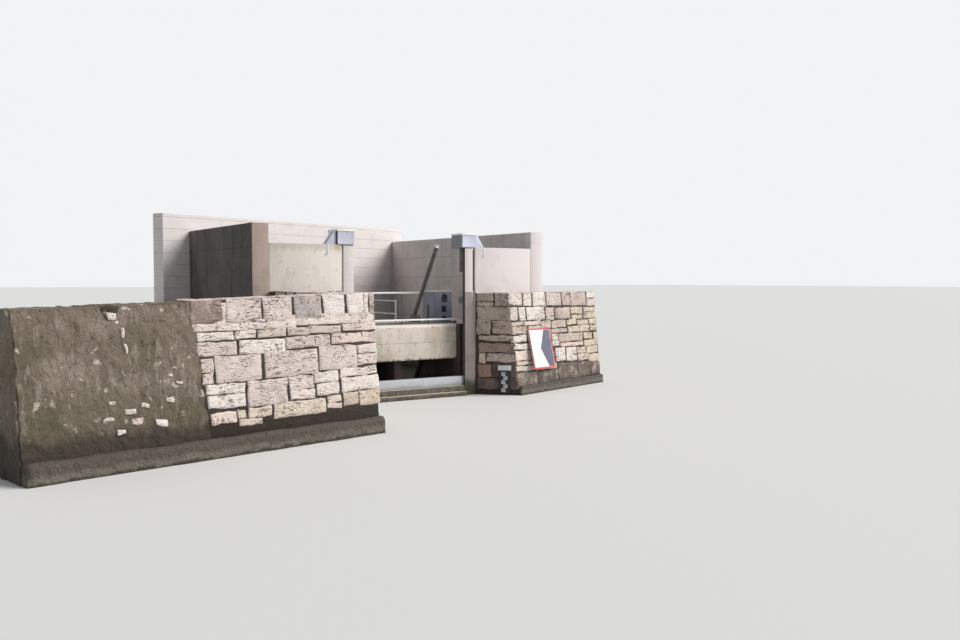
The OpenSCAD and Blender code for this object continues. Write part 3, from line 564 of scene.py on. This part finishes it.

# %% [markdown]
# The hoods are folded from blue-grey sheet: each side is a shallow pressed panel. The lid's rim is
# white and so are the cut edges of the sloping cover, white paint that also serves as a painted
# highlight;
# the lid's underside is a painted shadow and the sides that face -X a painted shade. The top rail at
# the front of the deck is white too, but its posts and its toe plate are dark, which also paints the
# shadow under the rail, and the cabinet wears a pale roof.

# %% Hoods with pressed panels, white rims with painted highlight, painted shadow and shade
for side in ("left", "right"):
    node = side + "_hoist_hood"
    low, high = (Vector(p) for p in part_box(node))
    bm = merged(node)
    lid_under = high.z - 0.045
    sides = [f for f in bm.faces if abs(f.normal.z) < 0.1 and f.calc_center_median().z < lid_under]
    bmesh.ops.inset_individual(bm, faces=sides, thickness=0.028, depth=-0.007,
                               use_even_offset=True)
    # The lid is white, partly as a painted highlight; its underside is black as a painted shadow,
    # and the sides that face -X take a painted shade.
    for face in bm.faces:
        centre = face.calc_center_median()
        if centre.z > lid_under - 0.001:
            face.material_index = 2 if face.normal.z < -0.5 else 1
        elif face.normal.x < -0.5:
            face.material_index = 3
    round_edges(bm, 0.003)
    piece = piece_from(bm, node + "_sheet", STRUCTURE, "hood_sheet",
                       hood_sheet if side == "right" else hood_left, lid_white_and_highlight, shadow_gap,
                       hood_painted_shade)
    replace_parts(piece, node)
    # The sloping cover's edges are white, partly as a painted highlight.
    dress(side + "_hood_wing", 0.003, hood_sheet, lid_white_and_highlight,
          second=lambda c, n: abs(n.y) < 0.5 and n.z > -0.5)
# Below its white tube the toe rail is dark steel, which also stands for the shadow under the rail.
dress("toe_rail", 0.002, white_paint, dark_steel,
      second=lambda c, n: c.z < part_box("toe_rail")[1][2] - 0.05)
dress("cabinet_body", 0.004, cabinet_paint, cabinet_roof,
      second=lambda c, n: c.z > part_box("cabinet_body")[1][2] - 0.031 and n.z > -0.5)
print("hoods, toe rail and cabinet dressed")

# %% [markdown]
# ## Masonry
# The stone walls are laid as a mason lays them: course by course, block by block, against the solid
# that stands for mortar and core. One grid-cut cube serves as a stamp. Each block places a copy of
# it between four corners of its face, pushes its rim back, and works its corners loose by noise.

# %% A face of a wall: its foot, its direction in plan and its lean
LEAN = math.radians(5.6)
BATTER = math.tan(LEAN)
LIT_TURN, SPLAY_TURN = 18, math.atan2(-0.84, 0.83)
STONE_TOP, WING_TOP, WING_FALL = 2.66, 2.74, 0.0244
WING_LENGTH, WALL_THICK = 6.75, 0.9
RIM = 0.014


class Face:
    def __init__(self, foot, turn, lean=0.0):
        c, s = math.cos(math.radians(turn)), math.sin(math.radians(turn))
        self.foot = Vector((*foot, 0))
        self.along = Vector((c, s, 0))
        self.inward = Vector((-s, c, 0))
        self.rise = Vector((-s * lean, c * lean, 1))

    def at(self, along, up, inward=0.0):
        return self.foot + self.along * along + self.rise * up + self.inward * inward

    def top(self, height, slope=0.0):
        """The flat top of the wall as a face of its own, which rises from front to back."""
        top = Face((0, 0), 0)
        top.foot = self.at(0, height)
        top.along = self.along + Vector((0, 0, slope))
        top.rise = self.inward
        top.inward = Vector((0, 0, -1))
        return top


# %% The stamp: a cube cut into a grid on its front
def grid_cube(across, upward):
    bm = bmesh.new()
    bmesh.ops.create_cube(bm, size=1)
    for axis, cuts in ((0, across), (2, upward)):
        runs = [e for e in bm.edges if abs((e.verts[0].co - e.verts[1].co)[axis]) > 0.9]
        bmesh.ops.subdivide_edges(bm, edges=runs, cuts=cuts, use_grid_fill=True)
    return bm


fine_stamp = mesh_from(grid_cube(10, 5), "fine_stamp")
coarse_stamp = mesh_from(grid_cube(3, 2), "coarse_stamp")
print("faces of the stamps:", len(fine_stamp.polygons), len(coarse_stamp.polygons))


# %% Lay one block
def lay_block(bm, face, left, right, low, up, tint, stamp, proud=0.018, deep=0.12, rough=0.01,
              ragged=0.032, joint=0.0):
    """left and right are (at low, at up) along the face; tint is the block's own colour."""
    first = len(bm.verts)
    bm.from_mesh(stamp)
    bm.verts.ensure_lookup_table()
    layer = bm.verts.layers.float_color.get("tint") or bm.verts.layers.float_color.new("tint")
    width, tall = (right[0] + right[1] - left[0] - left[1]) / 2, up - low
    seed = Vector((random.uniform(-50, 50), random.uniform(-50, 50), random.uniform(-50, 50)))
    proud += random.uniform(-0.006, 0.006)
    tip_u, tip_v = random.uniform(-0.006, 0.006), random.uniform(-0.006, 0.006)
    ring_s, ring_t = min(0.08, RIM / width), min(0.14, RIM / tall)
    for vert in bm.verts[first:]:
        s, w, t = vert.co
        on_rim = abs(s) > 0.49 or abs(t) > 0.49
        s = max(-0.5 + ring_s, min(0.5 - ring_s, s * 1.3)) if abs(s) < 0.49 else s
        t = max(-0.5 + ring_t, min(0.5 - ring_t, t * 1.55)) if abs(t) < 0.49 else t
        z = low + joint + (0.5 + t) * (tall - 2 * joint)
        share = (z - low) / tall
        start = left[0] + (left[1] - left[0]) * share + joint
        end = right[0] + (right[1] - right[0]) * share - joint
        u = start + (end - start) * (0.5 + s)
        shake = noise.noise_vector(seed + Vector((u * 2.6, z * 2.6, 0)))
        nibble = noise.noise_vector(seed + Vector((u * 9, z * 9, 5)))
        if w < 0:
            depth = -proud + (shake.x + 0.5 * nibble.z) * rough + tip_u * s + tip_v * t
            depth += RIM * (1.4 if abs(s) > 0.49 and abs(t) > 0.49 else 0.9) if on_rim else 0
        else:
            depth = deep
        u += (shake.y + 0.6 * nibble.x) * ragged
        z += (shake.z + 0.6 * nibble.y) * ragged * 0.8
        vert.co = face.at(u, z, depth)
        shade = 1 + 0.1 * shake.y
        vert[layer] = (*(c * shade for c in tint), 1)


# %% Tints of the blocks by a letter
TINTS = {
    "c": ((0.935, 0.89, 0.86), (0.92, 0.865, 0.835), (0.945, 0.905, 0.88)),  # cream
    "s": ((0.89, 0.835, 0.81), (0.87, 0.815, 0.79)),  # speckled
    "n": ((0.84, 0.775, 0.73), (0.81, 0.74, 0.695)),  # tan
    "p": ((0.91, 0.83, 0.79), (0.89, 0.81, 0.77)),  # pink
    "o": ((0.89, 0.83, 0.76), (0.86, 0.79, 0.715)),  # pale ochre
    "e": ((0.4, 0.355, 0.31), (0.365, 0.325, 0.285), (0.45, 0.4, 0.355)),  # stained foot
    "y": ((0.84, 0.79, 0.69),),  # yellowed
    "b": ((0.6, 0.53, 0.49), (0.56, 0.49, 0.45)),  # brown
    "g": ((0.72, 0.68, 0.67),),  # grey
    "d": ((0.77, 0.7, 0.66), (0.8, 0.74, 0.7), (0.66, 0.58, 0.53)),  # dark brown
    "k": ((0.39, 0.34, 0.305), (0.35, 0.305, 0.28)),  # damp brown
    "l": ((0.84, 0.78, 0.72), (0.86, 0.8, 0.75)),  # pale brown
    "r": ((0.63, 0.52, 0.465),),  # rust red
    "m": ((0.74, 0.69, 0.64), (0.71, 0.66, 0.61)),  # old mortar
    "w": ((0.15, 0.13, 0.115), (0.13, 0.11, 0.095)),  # wet
}


def tint_of(letters):
    return paint(*random.choice(TINTS[random.choice(letters)]))


# %% Blocks by their measured edges, and courses filled with random blocks
def lay_measured(bm, face, blocks, **how):
    """Each block is a tint letter, its two ends along the face and its two heights, in cm."""
    for letter, *edges in blocks:
        start, end, low, up = (edge / 100 for edge in edges)
        lay_block(bm, face, (start,) * 2, (end,) * 2, low, up, tint_of(letter), fine_stamp,
                  deep=0.35 if up > 2.5 else 0.12, joint=-0.004, **how)


def random_courses(bm, face, left, right, foot, top, letters, tall=(0.2, 0.42), wide=(0.3, 0.8),
                   wet=0.5):
    """Fills a face with courses; left and right are a place at the foot and a slope."""
    left, right = ((lambda z, end=end: end[0] + end[1] * z) for end in (left, right))
    z = foot
    while z < top - 0.01:
        up = z + random.uniform(*tall)
        if up > top - tall[0] * 0.7:
            up = top
        u = left(z)
        while u < right(z) - 0.01:
            step = random.uniform(*wide)
            last = u + step > right(z) - wide[0] * 0.6
            ends = (right(z), right(up)) if last else (u + step, u + step)
            begins = (left(z), left(up)) if u == left(z) else (u, u)
            lay_block(bm, face, begins, ends, z, up, tint_of("w" if up < wet else letters),
                      coarse_stamp, deep=0.3 if up == top else 0.12, joint=0.012)
            u = 99 if last else u + step
        z = up


# %% The faces of both stone walls
corner, pier_x = (2.745, -0.84), 1.915
splay = Face((pier_x, 0), math.degrees(SPLAY_TURN))
lit = Face(corner, LIT_TURN, BATTER)
end_foot = lit.at(4.12, 0)
abutment_end = Face((end_foot.x, end_foot.y), LIT_TURN + 90)
back_foot = abutment_end.at(WALL_THICK, 0)
abutment_back = Face((back_foot.x, back_foot.y), LIT_TURN + 180)
wing_foot = (-3.025, -4.0)
wing_face = Face(wing_foot, 12.5, BATTER)
wing_return = Face(wing_foot, math.degrees(math.atan2(3.16, 0.28)))
left_splay = Face((-corner[0], corner[1]), math.degrees(-SPLAY_TURN))


# %% [markdown]
# The front of the right abutment is rubble brought to courses: squared blocks on top, thin broken
# ones lower down, and a smooth worn base over the toe. The blocks are placed by edges that were
# measured along the wall and above its foot. Beside the gate the stone is dark brown, a patch of
# old mortar covers the second course, and a deep open joint runs at mid height.

# %% Right abutment: blocks of the lit face
lit_blocks = [
    ("c", -14, 42, 233, 266), ("c", 49, 84, 232, 266), ("c", 91, 151, 230, 266),
    ("s", 157, 230, 230, 265), ("n", 236, 274, 228, 266), ("n", 278, 360, 227, 265),
    ("c", 366, 410, 247, 265), ("s", 366, 410, 225, 245), ("c", -13, 19, 195, 229),
    ("c", 24, 53, 194, 228), ("c", 59, 144, 193, 227), ("n", 149, 190, 190, 224),
    ("n", 195, 270, 192, 223), ("o", 279, 337, 204, 223), ("o", 344, 410, 208, 222),
    ("y", 344, 410, 189, 205), ("o", 280, 337, 189, 201), ("n", -12, 41, 181, 191),
    ("p", 45, 121, 179, 190), ("n", -11, 58, 158, 178), ("n", 63, 120, 167, 177),
    ("p", 125, 171, 169, 188), ("n", 175, 246, 168, 188), ("o", 251, 304, 174, 187),
    ("o", 309, 364, 172, 186), ("y", 370, 410, 170, 186), ("o", 255, 368, 152, 169),
    ("n", 170, 250, 155, 165), ("c", 170, 202, 136, 153), ("n", 205, 328, 127, 150),
    ("o", 336, 384, 131, 148), ("o", 334, 388, 110, 126), ("y", 375, 410, 152, 167),
    ("y", 390, 410, 110, 148), ("c", -9, 52, 138, 155), ("c", -8, 53, 118, 133),
    ("p", -7, 72, 89, 114), ("c", 169, 203, 118, 133), ("p", 207, 328, 114, 124),
    ("c", 182, 233, 75, 112), ("c", 237, 291, 73, 110), ("o", 296, 341, 91, 108),
    ("o", 346, 408, 88, 108), ("o", 296, 352, 70, 88), ("o", 357, 410, 64, 85),
    ("n", -5, 79, 77, 86), ("n", -4, 81, 61, 74), ("e", -4, 88, 19, 58), ("e", 91, 187, 22, 55),
    ("e", 189, 286, 24, 69), ("e", 289, 357, 25, 65), ("e", 360, 410, 25, 61),
    # behind the sign
    ("c", 58, 118, 136, 164), ("n", 123, 165, 134, 166), ("c", 58, 110, 117, 132),
    ("s", 115, 164, 106, 130), ("n", 77, 110, 89, 113), ("c", 114, 176, 76, 102),
    ("n", 85, 182, 59, 73),
]
abutment, foot = bmesh.new(), bmesh.new()
lay_measured(abutment, lit, lit_blocks)
for step in range(5):
    lay_block(foot, lit, (step * 0.83,) * 2, (step * 0.83 + 0.8,) * 2, 0.02, 0.2,
              tint_of("w"), coarse_stamp, proud=0.0)

# %% Right abutment: the dark face beside the gate, the end and the back
splay_blocks = [
    ("d", 5, 48, 245, 265), ("d", 5, 48, 233, 243), ("d", 53, 90, 233, 265),
    ("d", 46, 93, 160, 193), ("l", 10, 97, 142, 155), ("d", 10, 102, 111, 135),
    ("d", 32, 105, 87, 108), ("l", 10, 28, 82, 109), ("r", 10, 42, 47, 79), ("k", 46, 109, 47, 84),
    ("k", 6, 60, 16, 44), ("k", 63, 114, 14, 44),
]
shaded = bmesh.new()
lay_measured(shaded, splay, splay_blocks, rough=0.014)
for start, end, low, up in ((0.04, 0.93, 1.96, 2.3), (0.04, 0.42, 1.58, 1.99)):
    lay_block(shaded, splay, (start,) * 2, (end,) * 2, low, up, tint_of("m"), fine_stamp,
              proud=0.03, rough=0.03, ragged=0.04)
random_courses(abutment, abutment_end, (0, BATTER), (WALL_THICK, 0), 0, STONE_TOP, "cnsp")
random_courses(abutment, abutment_back, (0, 0), (2.37, 0), 0, STONE_TOP, "bdn")
random_courses(abutment, lit.top(STONE_TOP), (0, 0), (4.11, 0), 0.01, 0.63, "csn",
               tall=(0.28, 0.34), wet=0)
piece_from(abutment, "abutment_blocks", STRUCTURE, "limestone", limestone, crease=60)
piece_from(shaded, "splay_blocks", STRUCTURE, "limestone", limestone_dark, crease=60)
print("abutment laid:", len(lit_blocks) + len(splay_blocks), "measured blocks")

# %% [markdown]
# The left wing wall is better kept: long squared blocks in courses, with a smooth wedge of mortar
# under the top one. It ends at the channel in a clean vertical edge. Its top course holds one dark
# grey block. Below the courses the stone is wet and nearly black.

# %% Left wing wall: blocks from its right end
wing_blocks = [
    ("b", -392, -333, 227, 265), ("s", -325, -253, 226, 267), ("s", -250, -188, 227, 268),
    ("g", -182, -124, 229, 269), ("c", -119, -68, 233, 271), ("c", -59, -20, 233, 273),
    ("c", -17, -6, 233, 274), ("n", -4, 7, 233, 274), ("c", -382, -314, 197, 210),
    ("c", -311, -268, 198, 210), ("n", -264, -204, 198, 212), ("n", -201, -154, 198, 213),
    ("n", -151, -79, 200, 214), ("p", -76, 6, 202, 216), ("s", -386, -309, 171, 194),
    ("c", -303, -210, 171, 194), ("s", -206, -107, 175, 196), ("p", -104, -32, 179, 198),
    ("p", -29, 5, 190, 199), ("p", -29, 5, 178, 188), ("n", -380, -357, 144, 167),
    ("s", -378, -357, 125, 142), ("s", -353, -262, 124, 169), ("s", -253, -138, 125, 172),
    ("s", -134, -45, 131, 175), ("c", -42, 5, 158, 175), ("s", -42, 5, 135, 156),
    ("c", -373, -298, 104, 121), ("c", -370, -297, 81, 102), ("s", -292, -210, 78, 122),
    ("c", -205, -150, 100, 123), ("c", -204, -150, 81, 98), ("c", -147, -93, 108, 128),
    ("c", -146, -93, 85, 106), ("c", -88, 4, 115, 131), ("c", -88, 4, 87, 113),
    ("p", -367, -318, 54, 73), ("o", -314, -298, 61, 74), ("o", -294, -246, 59, 76),
    ("p", -313, -267, 46, 57), ("o", -241, -127, 52, 79), ("o", -122, -87, 69, 81),
    ("p", -121, -88, 58, 67), ("o", -84, -49, 60, 83), ("o", -45, 4, 56, 85),
]
wing = bmesh.new()
lay_measured(wing, wing_face, wing_blocks)
for start, end, low, up in ((-3.92, -1.82, 2.12, 2.3), (-1.9, 0.05, 2.16, 2.37),
                            (-3.36, -3.2, 2.2, 2.62)):
    lay_block(wing, wing_face, (start,) * 2, (end,) * 2, low, up, paint(0.93, 0.87, 0.835),
              fine_stamp, proud=0.01, ragged=0.012)
for step in range(5):
    lay_block(foot, wing_face, (-0.78 * step - 0.76,) * 2, (-0.78 * step + 0.02,) * 2, 0.3, 0.5,
              tint_of("w"), coarse_stamp, proud=0.0)
piece_from(foot, "foot_blocks", STRUCTURE, "limestone", mortar, crease=60)

# %% [markdown]
# The sides that the photograph hides are laid with the same stone in random courses, so the wall is
# finished all round.

# %% Left wing wall: return, splay, back and end
def falling_top(along):
    return WING_TOP - WING_FALL * along


random_courses(wing, wing_return, (0, BATTER * 1.049), (3.17, 0), 0, WING_TOP, "csn")
random_courses(wing, left_splay, (0, 0), (1.18, 0), 0, WING_TOP, "bnd")
wing_back = Face(wing_face.at(-0.62, 0, WALL_THICK).xy, 192.5)
random_courses(wing, wing_back, (0, 0), (3.2, 0), 0, 2.63, "snb")
return_back = Face((-3.725, 0), math.degrees(math.atan2(-3.2545, -0.0954)))
random_courses(wing, return_back, (0.42, 0), (3.25, 0), 0, WING_TOP, "snb")
random_courses(wing, wing_face.top(WING_TOP, WING_FALL), (-3.9, 0), (0, 0), 0.01, 0.6, "csp",
               tall=(0.28, 0.32), wet=0)
random_courses(wing, return_back.top(WING_TOP), (0.1, 0), (3.3, 0), 0.03, 0.6, "csn",
               tall=(0.28, 0.3), wet=0)
piece_from(wing, "wing_blocks", STRUCTURE, "limestone", limestone, crease=60)
print("wing laid:", len(wing_blocks), "measured blocks")

# %% [markdown]
# The far stretch of the wing wall carries a coat of rough render, crumbled along its top and with a
# notch where it broke away. A grid-cut slab takes the coat's outline, and layers of noise push its
# front in and out. The toes of the walls are cut into short lengths and worn in the same way.

# %% A coat of rough render
def crumbled(face, along):
    """How far the top has crumbled down at a place along a face."""
    return abs(noise.noise(Vector((along * 4, 3, face.foot.x)))) * 0.05


def pour(part, bm):
    """Adds the mesh of part to bm."""
    mesh = mesh_from(part, "part")
    bm.from_mesh(mesh)
    bpy.data.meshes.remove(mesh)


def rough_coat(bm, face, left, right, low, top, across, upward):
    """top is a function of the place along the face; left and right of the height."""
    part = grid_cube(across, upward)
    for vert in part.verts:
        s, w, t = (c + 0.5 for c in vert.co)
        middle = low + (WING_TOP - low) * t
        u = left(middle) + (right(middle) - left(middle)) * s
        edge = -crumbled(face, u) if t > 0.99 else 0
        z = low + (top(u) - low) * t + edge
        swell = noise.fractal(Vector((u * 1.3, z * 1.3, face.foot.y)), 0.7, 2.1, 6)
        chip = max(0.0, noise.noise(Vector((u * 5, z * 5, 9))) - 0.25)
        depth = 0.1 if w > 0.5 else -0.02 - swell * 0.03 + chip * 0.08
        u += noise.noise(Vector((z * 5, u, 7))) * 0.05 if s in (0.0, 1.0) else 0
        vert.co = face.at(u, z, depth)
    pour(part, bm)


def notched_top(along):
    """The top of the coat, with the gap that broke out of it."""
    notch = max(0.0, 1 - abs(along + 5.32) / 0.17)
    return falling_top(-along) - 0.03 - 0.2 * min(1.0, 1.6 * notch)


coat = bmesh.new()
rough_coat(coat, wing_face, lambda z: -WING_LENGTH, lambda z: -3.67 - 0.1 * z, 0.25,
           notched_top, 66, 48)
coat_end = Face(wing_face.at(-WING_LENGTH, 0, WALL_THICK).xy, -77.5)
rough_coat(coat, coat_end, lambda z: 0.0, lambda z: WALL_THICK - z * BATTER, 0.02,
           lambda u: falling_top(WING_LENGTH), 16, 40)
rough_coat(coat, wing_back, lambda z: 3.22, lambda z: 6.13, 0.02,
           lambda u: falling_top(u + 0.62), 44, 36)
bared = bmesh.new()
for along, up, wide, tall in (
        (-4.5, 1.02, 0.2, 0.08), (-4.9, 0.96, 0.13, 0.06), (-5.15, 0.88, 0.16, 0.08),
        (-5.4, 1.05, 0.11, 0.06), (-5.05, 0.72, 0.17, 0.08), (-5.5, 0.78, 0.14, 0.07),
        (-4.65, 0.66, 0.2, 0.09), (-5.3, 0.6, 0.15, 0.07), (-4.35, 1.52, 0.09, 0.05),
        (-4.42, 1.4, 0.08, 0.06), (-4.3, 1.29, 0.13, 0.04), (-5.36, 2.38, 0.12, 0.1),
        (-5.25, 2.3, 0.07, 0.12), (-5.2, 2.1, 0.06, 0.14), (-5.08, 1.85, 0.05, 0.16)):
    lay_block(bared, wing_face, (along,) * 2, (along + wide,) * 2, up, up + tall, tint_of("c"),
              coarse_stamp, proud=0.045, rough=0.02, ragged=0.06)
piece_from(bared, "bared_stones", STRUCTURE, "render_coat", limestone, crease=60)
piece_from(coat, "wing_coat", STRUCTURE, "render_coat", render_coat, crease=60)

# %% Worn toes
def cut_long(bm, length):
    """Cuts the edges that are longer than this into 71 lengths."""
    runs = [e for e in bm.edges if e.calc_length() > length]
    bmesh.ops.subdivide_edges(bm, edges=runs, cuts=70, use_grid_fill=True)


for node, rough in (("left_wing_toe", 0.03), ("right_abutment_toe", 0.02)):
    bm = merged(node)
    arris = [e for e in bm.edges if e.calc_length() > 2 and min(v.co.z for v in e.verts) > 0.02
             and len(e.link_faces) == 2 and e.calc_face_angle_signed(0) > 0.3]
    bevel(bm, arris, 0.07, 3)
    cut_long(bm, 2)
    for vert in bm.verts:
        sway = noise.noise_vector(vert.co * 2.2) * rough
        sway += noise.noise_vector(vert.co * 9) * rough / 2
        sway.z *= 0.6 if vert.co.z > 0.02 else 0
        vert.co += sway
    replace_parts(piece_from(bm, node + "_worn", STRUCTURE, "wet_stone", wet_stone, crease=60), node)
    print(node, "worn")

# %% Mortar and core: the solids behind the blocks
for node in ("right_abutment", "left_wing_stone", "left_return_wall"):
    dress(node, 0.01, mortar, mortar_top, second=lambda c, n: n.z > 0.9)

# %% The rendered core, broken out under the notch
bm = merged("left_wing_render")
cut_long(bm, 2.5)
for vert in bm.verts:
    if vert.co.z > 2.3:
        along = (vert.co - wing_face.foot).dot(wing_face.along)
        chipped = crumbled(wing_face, along)
        vert.co.z -= falling_top(-along) - 0.03 - notched_top(along) + chipped + 0.01
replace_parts(piece_from(bm, "left_wing_render_worn", STRUCTURE, "render_coat", render_coat),
            "left_wing_render")

# %% [markdown]
# ## Sign and staff gauge
# The board on the abutment is a white sheet with a red edge and a slate field that comes to a point
# on its left. The staff gauge beside the gate is a black board with white marks for the level.
# Both are drawn with thin inlaid plates, in the tilted frame of the board.

# %% A flat inlay cut to an outline
def inlay(bm, outline, depth, thick, place=Matrix(), index=0):
    """A thin plate with the given outline in x and z, whose front is at depth in y."""
    part = bmesh.new()
    verts = [part.verts.new((x, depth, z)) for x, z in outline]
    face = part.faces.new(verts)
    grown = bmesh.ops.extrude_face_region(part, geom=[face])["geom"]
    bmesh.ops.translate(part, vec=(0, thick, 0),
                        verts=[g for g in grown if isinstance(g, bmesh.types.BMVert)])
    bmesh.ops.recalc_face_normals(part, faces=part.faces[:])
    bmesh.ops.transform(part, matrix=place, verts=part.verts[:])
    for face in part.faces:
        face.material_index = index
    pour(part, bm)


def oblong(x0, x1, z0, z1):
    return [(x0, z0), (x1, z0), (x1, z1), (x0, z1)]


# %% The sign
on_lit = (Matrix.Translation((*corner, 0)) @ Matrix.Rotation(math.radians(LIT_TURN), 4, "Z")
          @ Matrix.Rotation(-LEAN, 4, "X"))
board = (on_lit @ Matrix.Translation((0.53, -0.05, 1.71))
         @ Matrix.Rotation(math.radians(-7), 4, "X") @ Matrix.Rotation(math.radians(0.7), 4, "Y")
         @ Matrix.Translation((0, 0, -1.09)))
SIGN_W, SIGN_H = 1.02, 1.09
bm = merged("sign_board")
round_edges(bm, 0.003)
inlay(bm, [(0.71, 1.045), (0.45, 0.55), (0.72, 0.045), (0.97, 0.045), (0.97, 1.045)], -0.0015,
      0.003, board, 1)
for outline in (oblong(0, SIGN_W, 0, 0.04), oblong(0, SIGN_W, 1.05, SIGN_H),
                oblong(0.98, SIGN_W, 0.041, 1.049), oblong(0, 0.018, 0.041, 1.049)):
    inlay(bm, outline, -0.0015, 0.003, board, 2)
inlay(bm, oblong(0.019, 0.045, 0.041, 1.049), -0.0015, 0.003, board, 3)
sign = piece_from(bm, "sign_face", STRUCTURE, "sign_white", sign_white, sign_slate, sign_red,
                  shadow_gap)
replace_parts(sign, "sign_board")

# %% The marks of the staff gauge
on_splay = Matrix.Translation((pier_x, 0, 0)) @ Matrix.Rotation(SPLAY_TURN, 4, "Z")
bm = bmesh.new()
for step in range(5):
    low = 0.09 + 0.105 * step
    side = 0.045 if step % 2 else 0.0
    for bar in range(3):
        inlay(bm, oblong(0.715 + side, 0.82 + side, low + 0.034 * bar, low + 0.016 + 0.034 * bar),
              -0.0615, 0.003, on_splay)
    spine = 0.715 if step % 2 == 0 else 0.849
    inlay(bm, oblong(spine, spine + 0.016, low, low + 0.084), -0.0616, 0.003, on_splay)
piece_from(bm, "gauge_marks", STRUCTURE, "sign_white", sign_white)
print("sign and gauge drawn")

# %% [markdown]
# The cabinet door carries a black arched handle plate with a pale lock, and two black windows under
# it. Black joint filler closes the slots between the guide posts and the parapets; its black is also
# a painted shadow in the slot, and a thin black strip on the post's face paints the slot's shadow.

# %% Marks of the cabinet door
def arch(middle, low, high, wide, band):
    """An upside-down U: a band round an arched top."""
    outer, inner = wide / 2, wide / 2 - band
    turns = [math.radians(15 * k) for k in range(13)]
    spring = high - outer
    return ([(middle - outer, low)]
            + [(middle - outer * math.cos(a), spring + outer * math.sin(a)) for a in turns]
            + [(middle + outer, low), (middle + inner, low)]
            + [(middle + inner * math.cos(a), spring + inner * math.sin(a)) for a in turns]
            + [(middle - inner, low)])


on_door = Matrix.Translation((0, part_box("cabinet_door")[0][1], 0))
bm = bmesh.new()
for outline in (arch(1.822, 2.395, 2.629, 0.172, 0.032), oblong(1.735, 1.873, 2.129, 2.296),
                oblong(1.735, 1.873, 1.957, 2.017), oblong(1.79, 1.85, 2.39, 2.5)):
    inlay(bm, outline, -0.004, 0.006, on_door)
piece_from(bm, "door_plates", "door", "black_plastic", black_plastic)
bm = bmesh.new()
inlay(bm, oblong(1.8, 1.845, 2.52, 2.56), -0.006, 0.008, on_door)
piece_from(bm, "door_lock", "door", "galvanised", lid_white_and_highlight)

# %% Joint filler and painted shadow beside the posts
bm = bmesh.new()
inlay(bm, oblong(1.868, 1.912, 2.7, 3.8), 0.06, 0.06)
inlay(bm, oblong(1.84, 1.864, 2.72, 3.78), -0.003, 0.006)
piece_from(bm, "joint_filler_and_shadow", STRUCTURE, "black_plastic", shadow_gap)

# %% Mortar fillet at the foot of the right parapet
bm = bmesh.new()
outline = [(1.92, 2.66), (2.16, 2.66), (2.05, 2.675), (1.97, 2.71), (1.93, 2.77), (1.92, 2.8)]
inlay(bm, outline, -0.02, 0.05,
      Matrix.Translation((0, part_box("right_front_parapet")[0][1], 0)))
piece_from(bm, "mortar_fillet", STRUCTURE, "concrete_pale", concrete_pale)

# %% A white mark on the left post
bm = bmesh.new()
ring = [math.radians(30 * k) for k in range(12)]
inlay(bm, [(-1.697 + 0.022 * math.cos(a), 3.505 + 0.022 * math.sin(a)) for a in ring], -0.003,
      0.006)
piece_from(bm, "post_mark", STRUCTURE, "sign_white", sign_white)

# %% [markdown]
# ## Floor, light and camera
# The gate stands on a plain pale floor before a pale backdrop. A soft sun from the right front and
# an even sky light it, as on a bright day, and the camera looks from eye height.

# %% Floor and backdrop
bm = bmesh.new()
bmesh.ops.create_grid(bm, x_segments=1, y_segments=1, size=400)
floor = placed("pale_floor", mesh_from(bm, "pale_floor"))
floor.data.materials.append(new_finish("pale_floor", paint(0.84, 0.84, 0.83), 0.9))

# %% Light
sun = placed("sun", bpy.data.lights.new("sun", "SUN"))
sun.data.energy = 3.4
sun.data.angle = math.radians(40)
sun.data.color = (1.0, 0.975, 0.95)
sun.rotation_euler = Vector((0.66, -0.47, 0.585)).to_track_quat("Z", "Y").to_euler()
world = bpy.data.worlds.new("sky")
bpy.context.scene.world = world
world.use_nodes = True
nodes, links = world.node_tree.nodes, world.node_tree.links
sky = nodes["Background"]
sky.inputs["Color"].default_value = (0.93, 0.96, 1.0, 1)
sky.inputs["Strength"].default_value = 0.42
path = nodes.new("ShaderNodeLightPath")
seen = nodes.new("ShaderNodeMath")
seen.operation = "MAXIMUM"
links.new(path.outputs["Is Camera Ray"], seen.inputs[0])
links.new(path.outputs["Is Glossy Ray"], seen.inputs[1])
backdrop = nodes.new("ShaderNodeBackground")
backdrop.inputs["Color"].default_value = (0.88, 0.89, 0.9, 1)
blend_sky = nodes.new("ShaderNodeMixShader")
links.new(seen.outputs[0], blend_sky.inputs[0])
links.new(sky.outputs[0], blend_sky.inputs[1])
links.new(backdrop.outputs[0], blend_sky.inputs[2])
links.new(blend_sky.outputs[0], nodes["World Output"].inputs["Surface"])

# %% Camera
camera = placed("camera", bpy.data.cameras.new("camera"))
camera.location = (-11.599, -20.262, 3.0)
camera.rotation_euler = (math.radians(90 - 2.46), 0, math.radians(-34))
camera.data.lens = 34.875
camera.data.sensor_width = 36
bpy.context.scene.camera = camera
bpy.context.scene.view_settings.view_transform = "Standard"
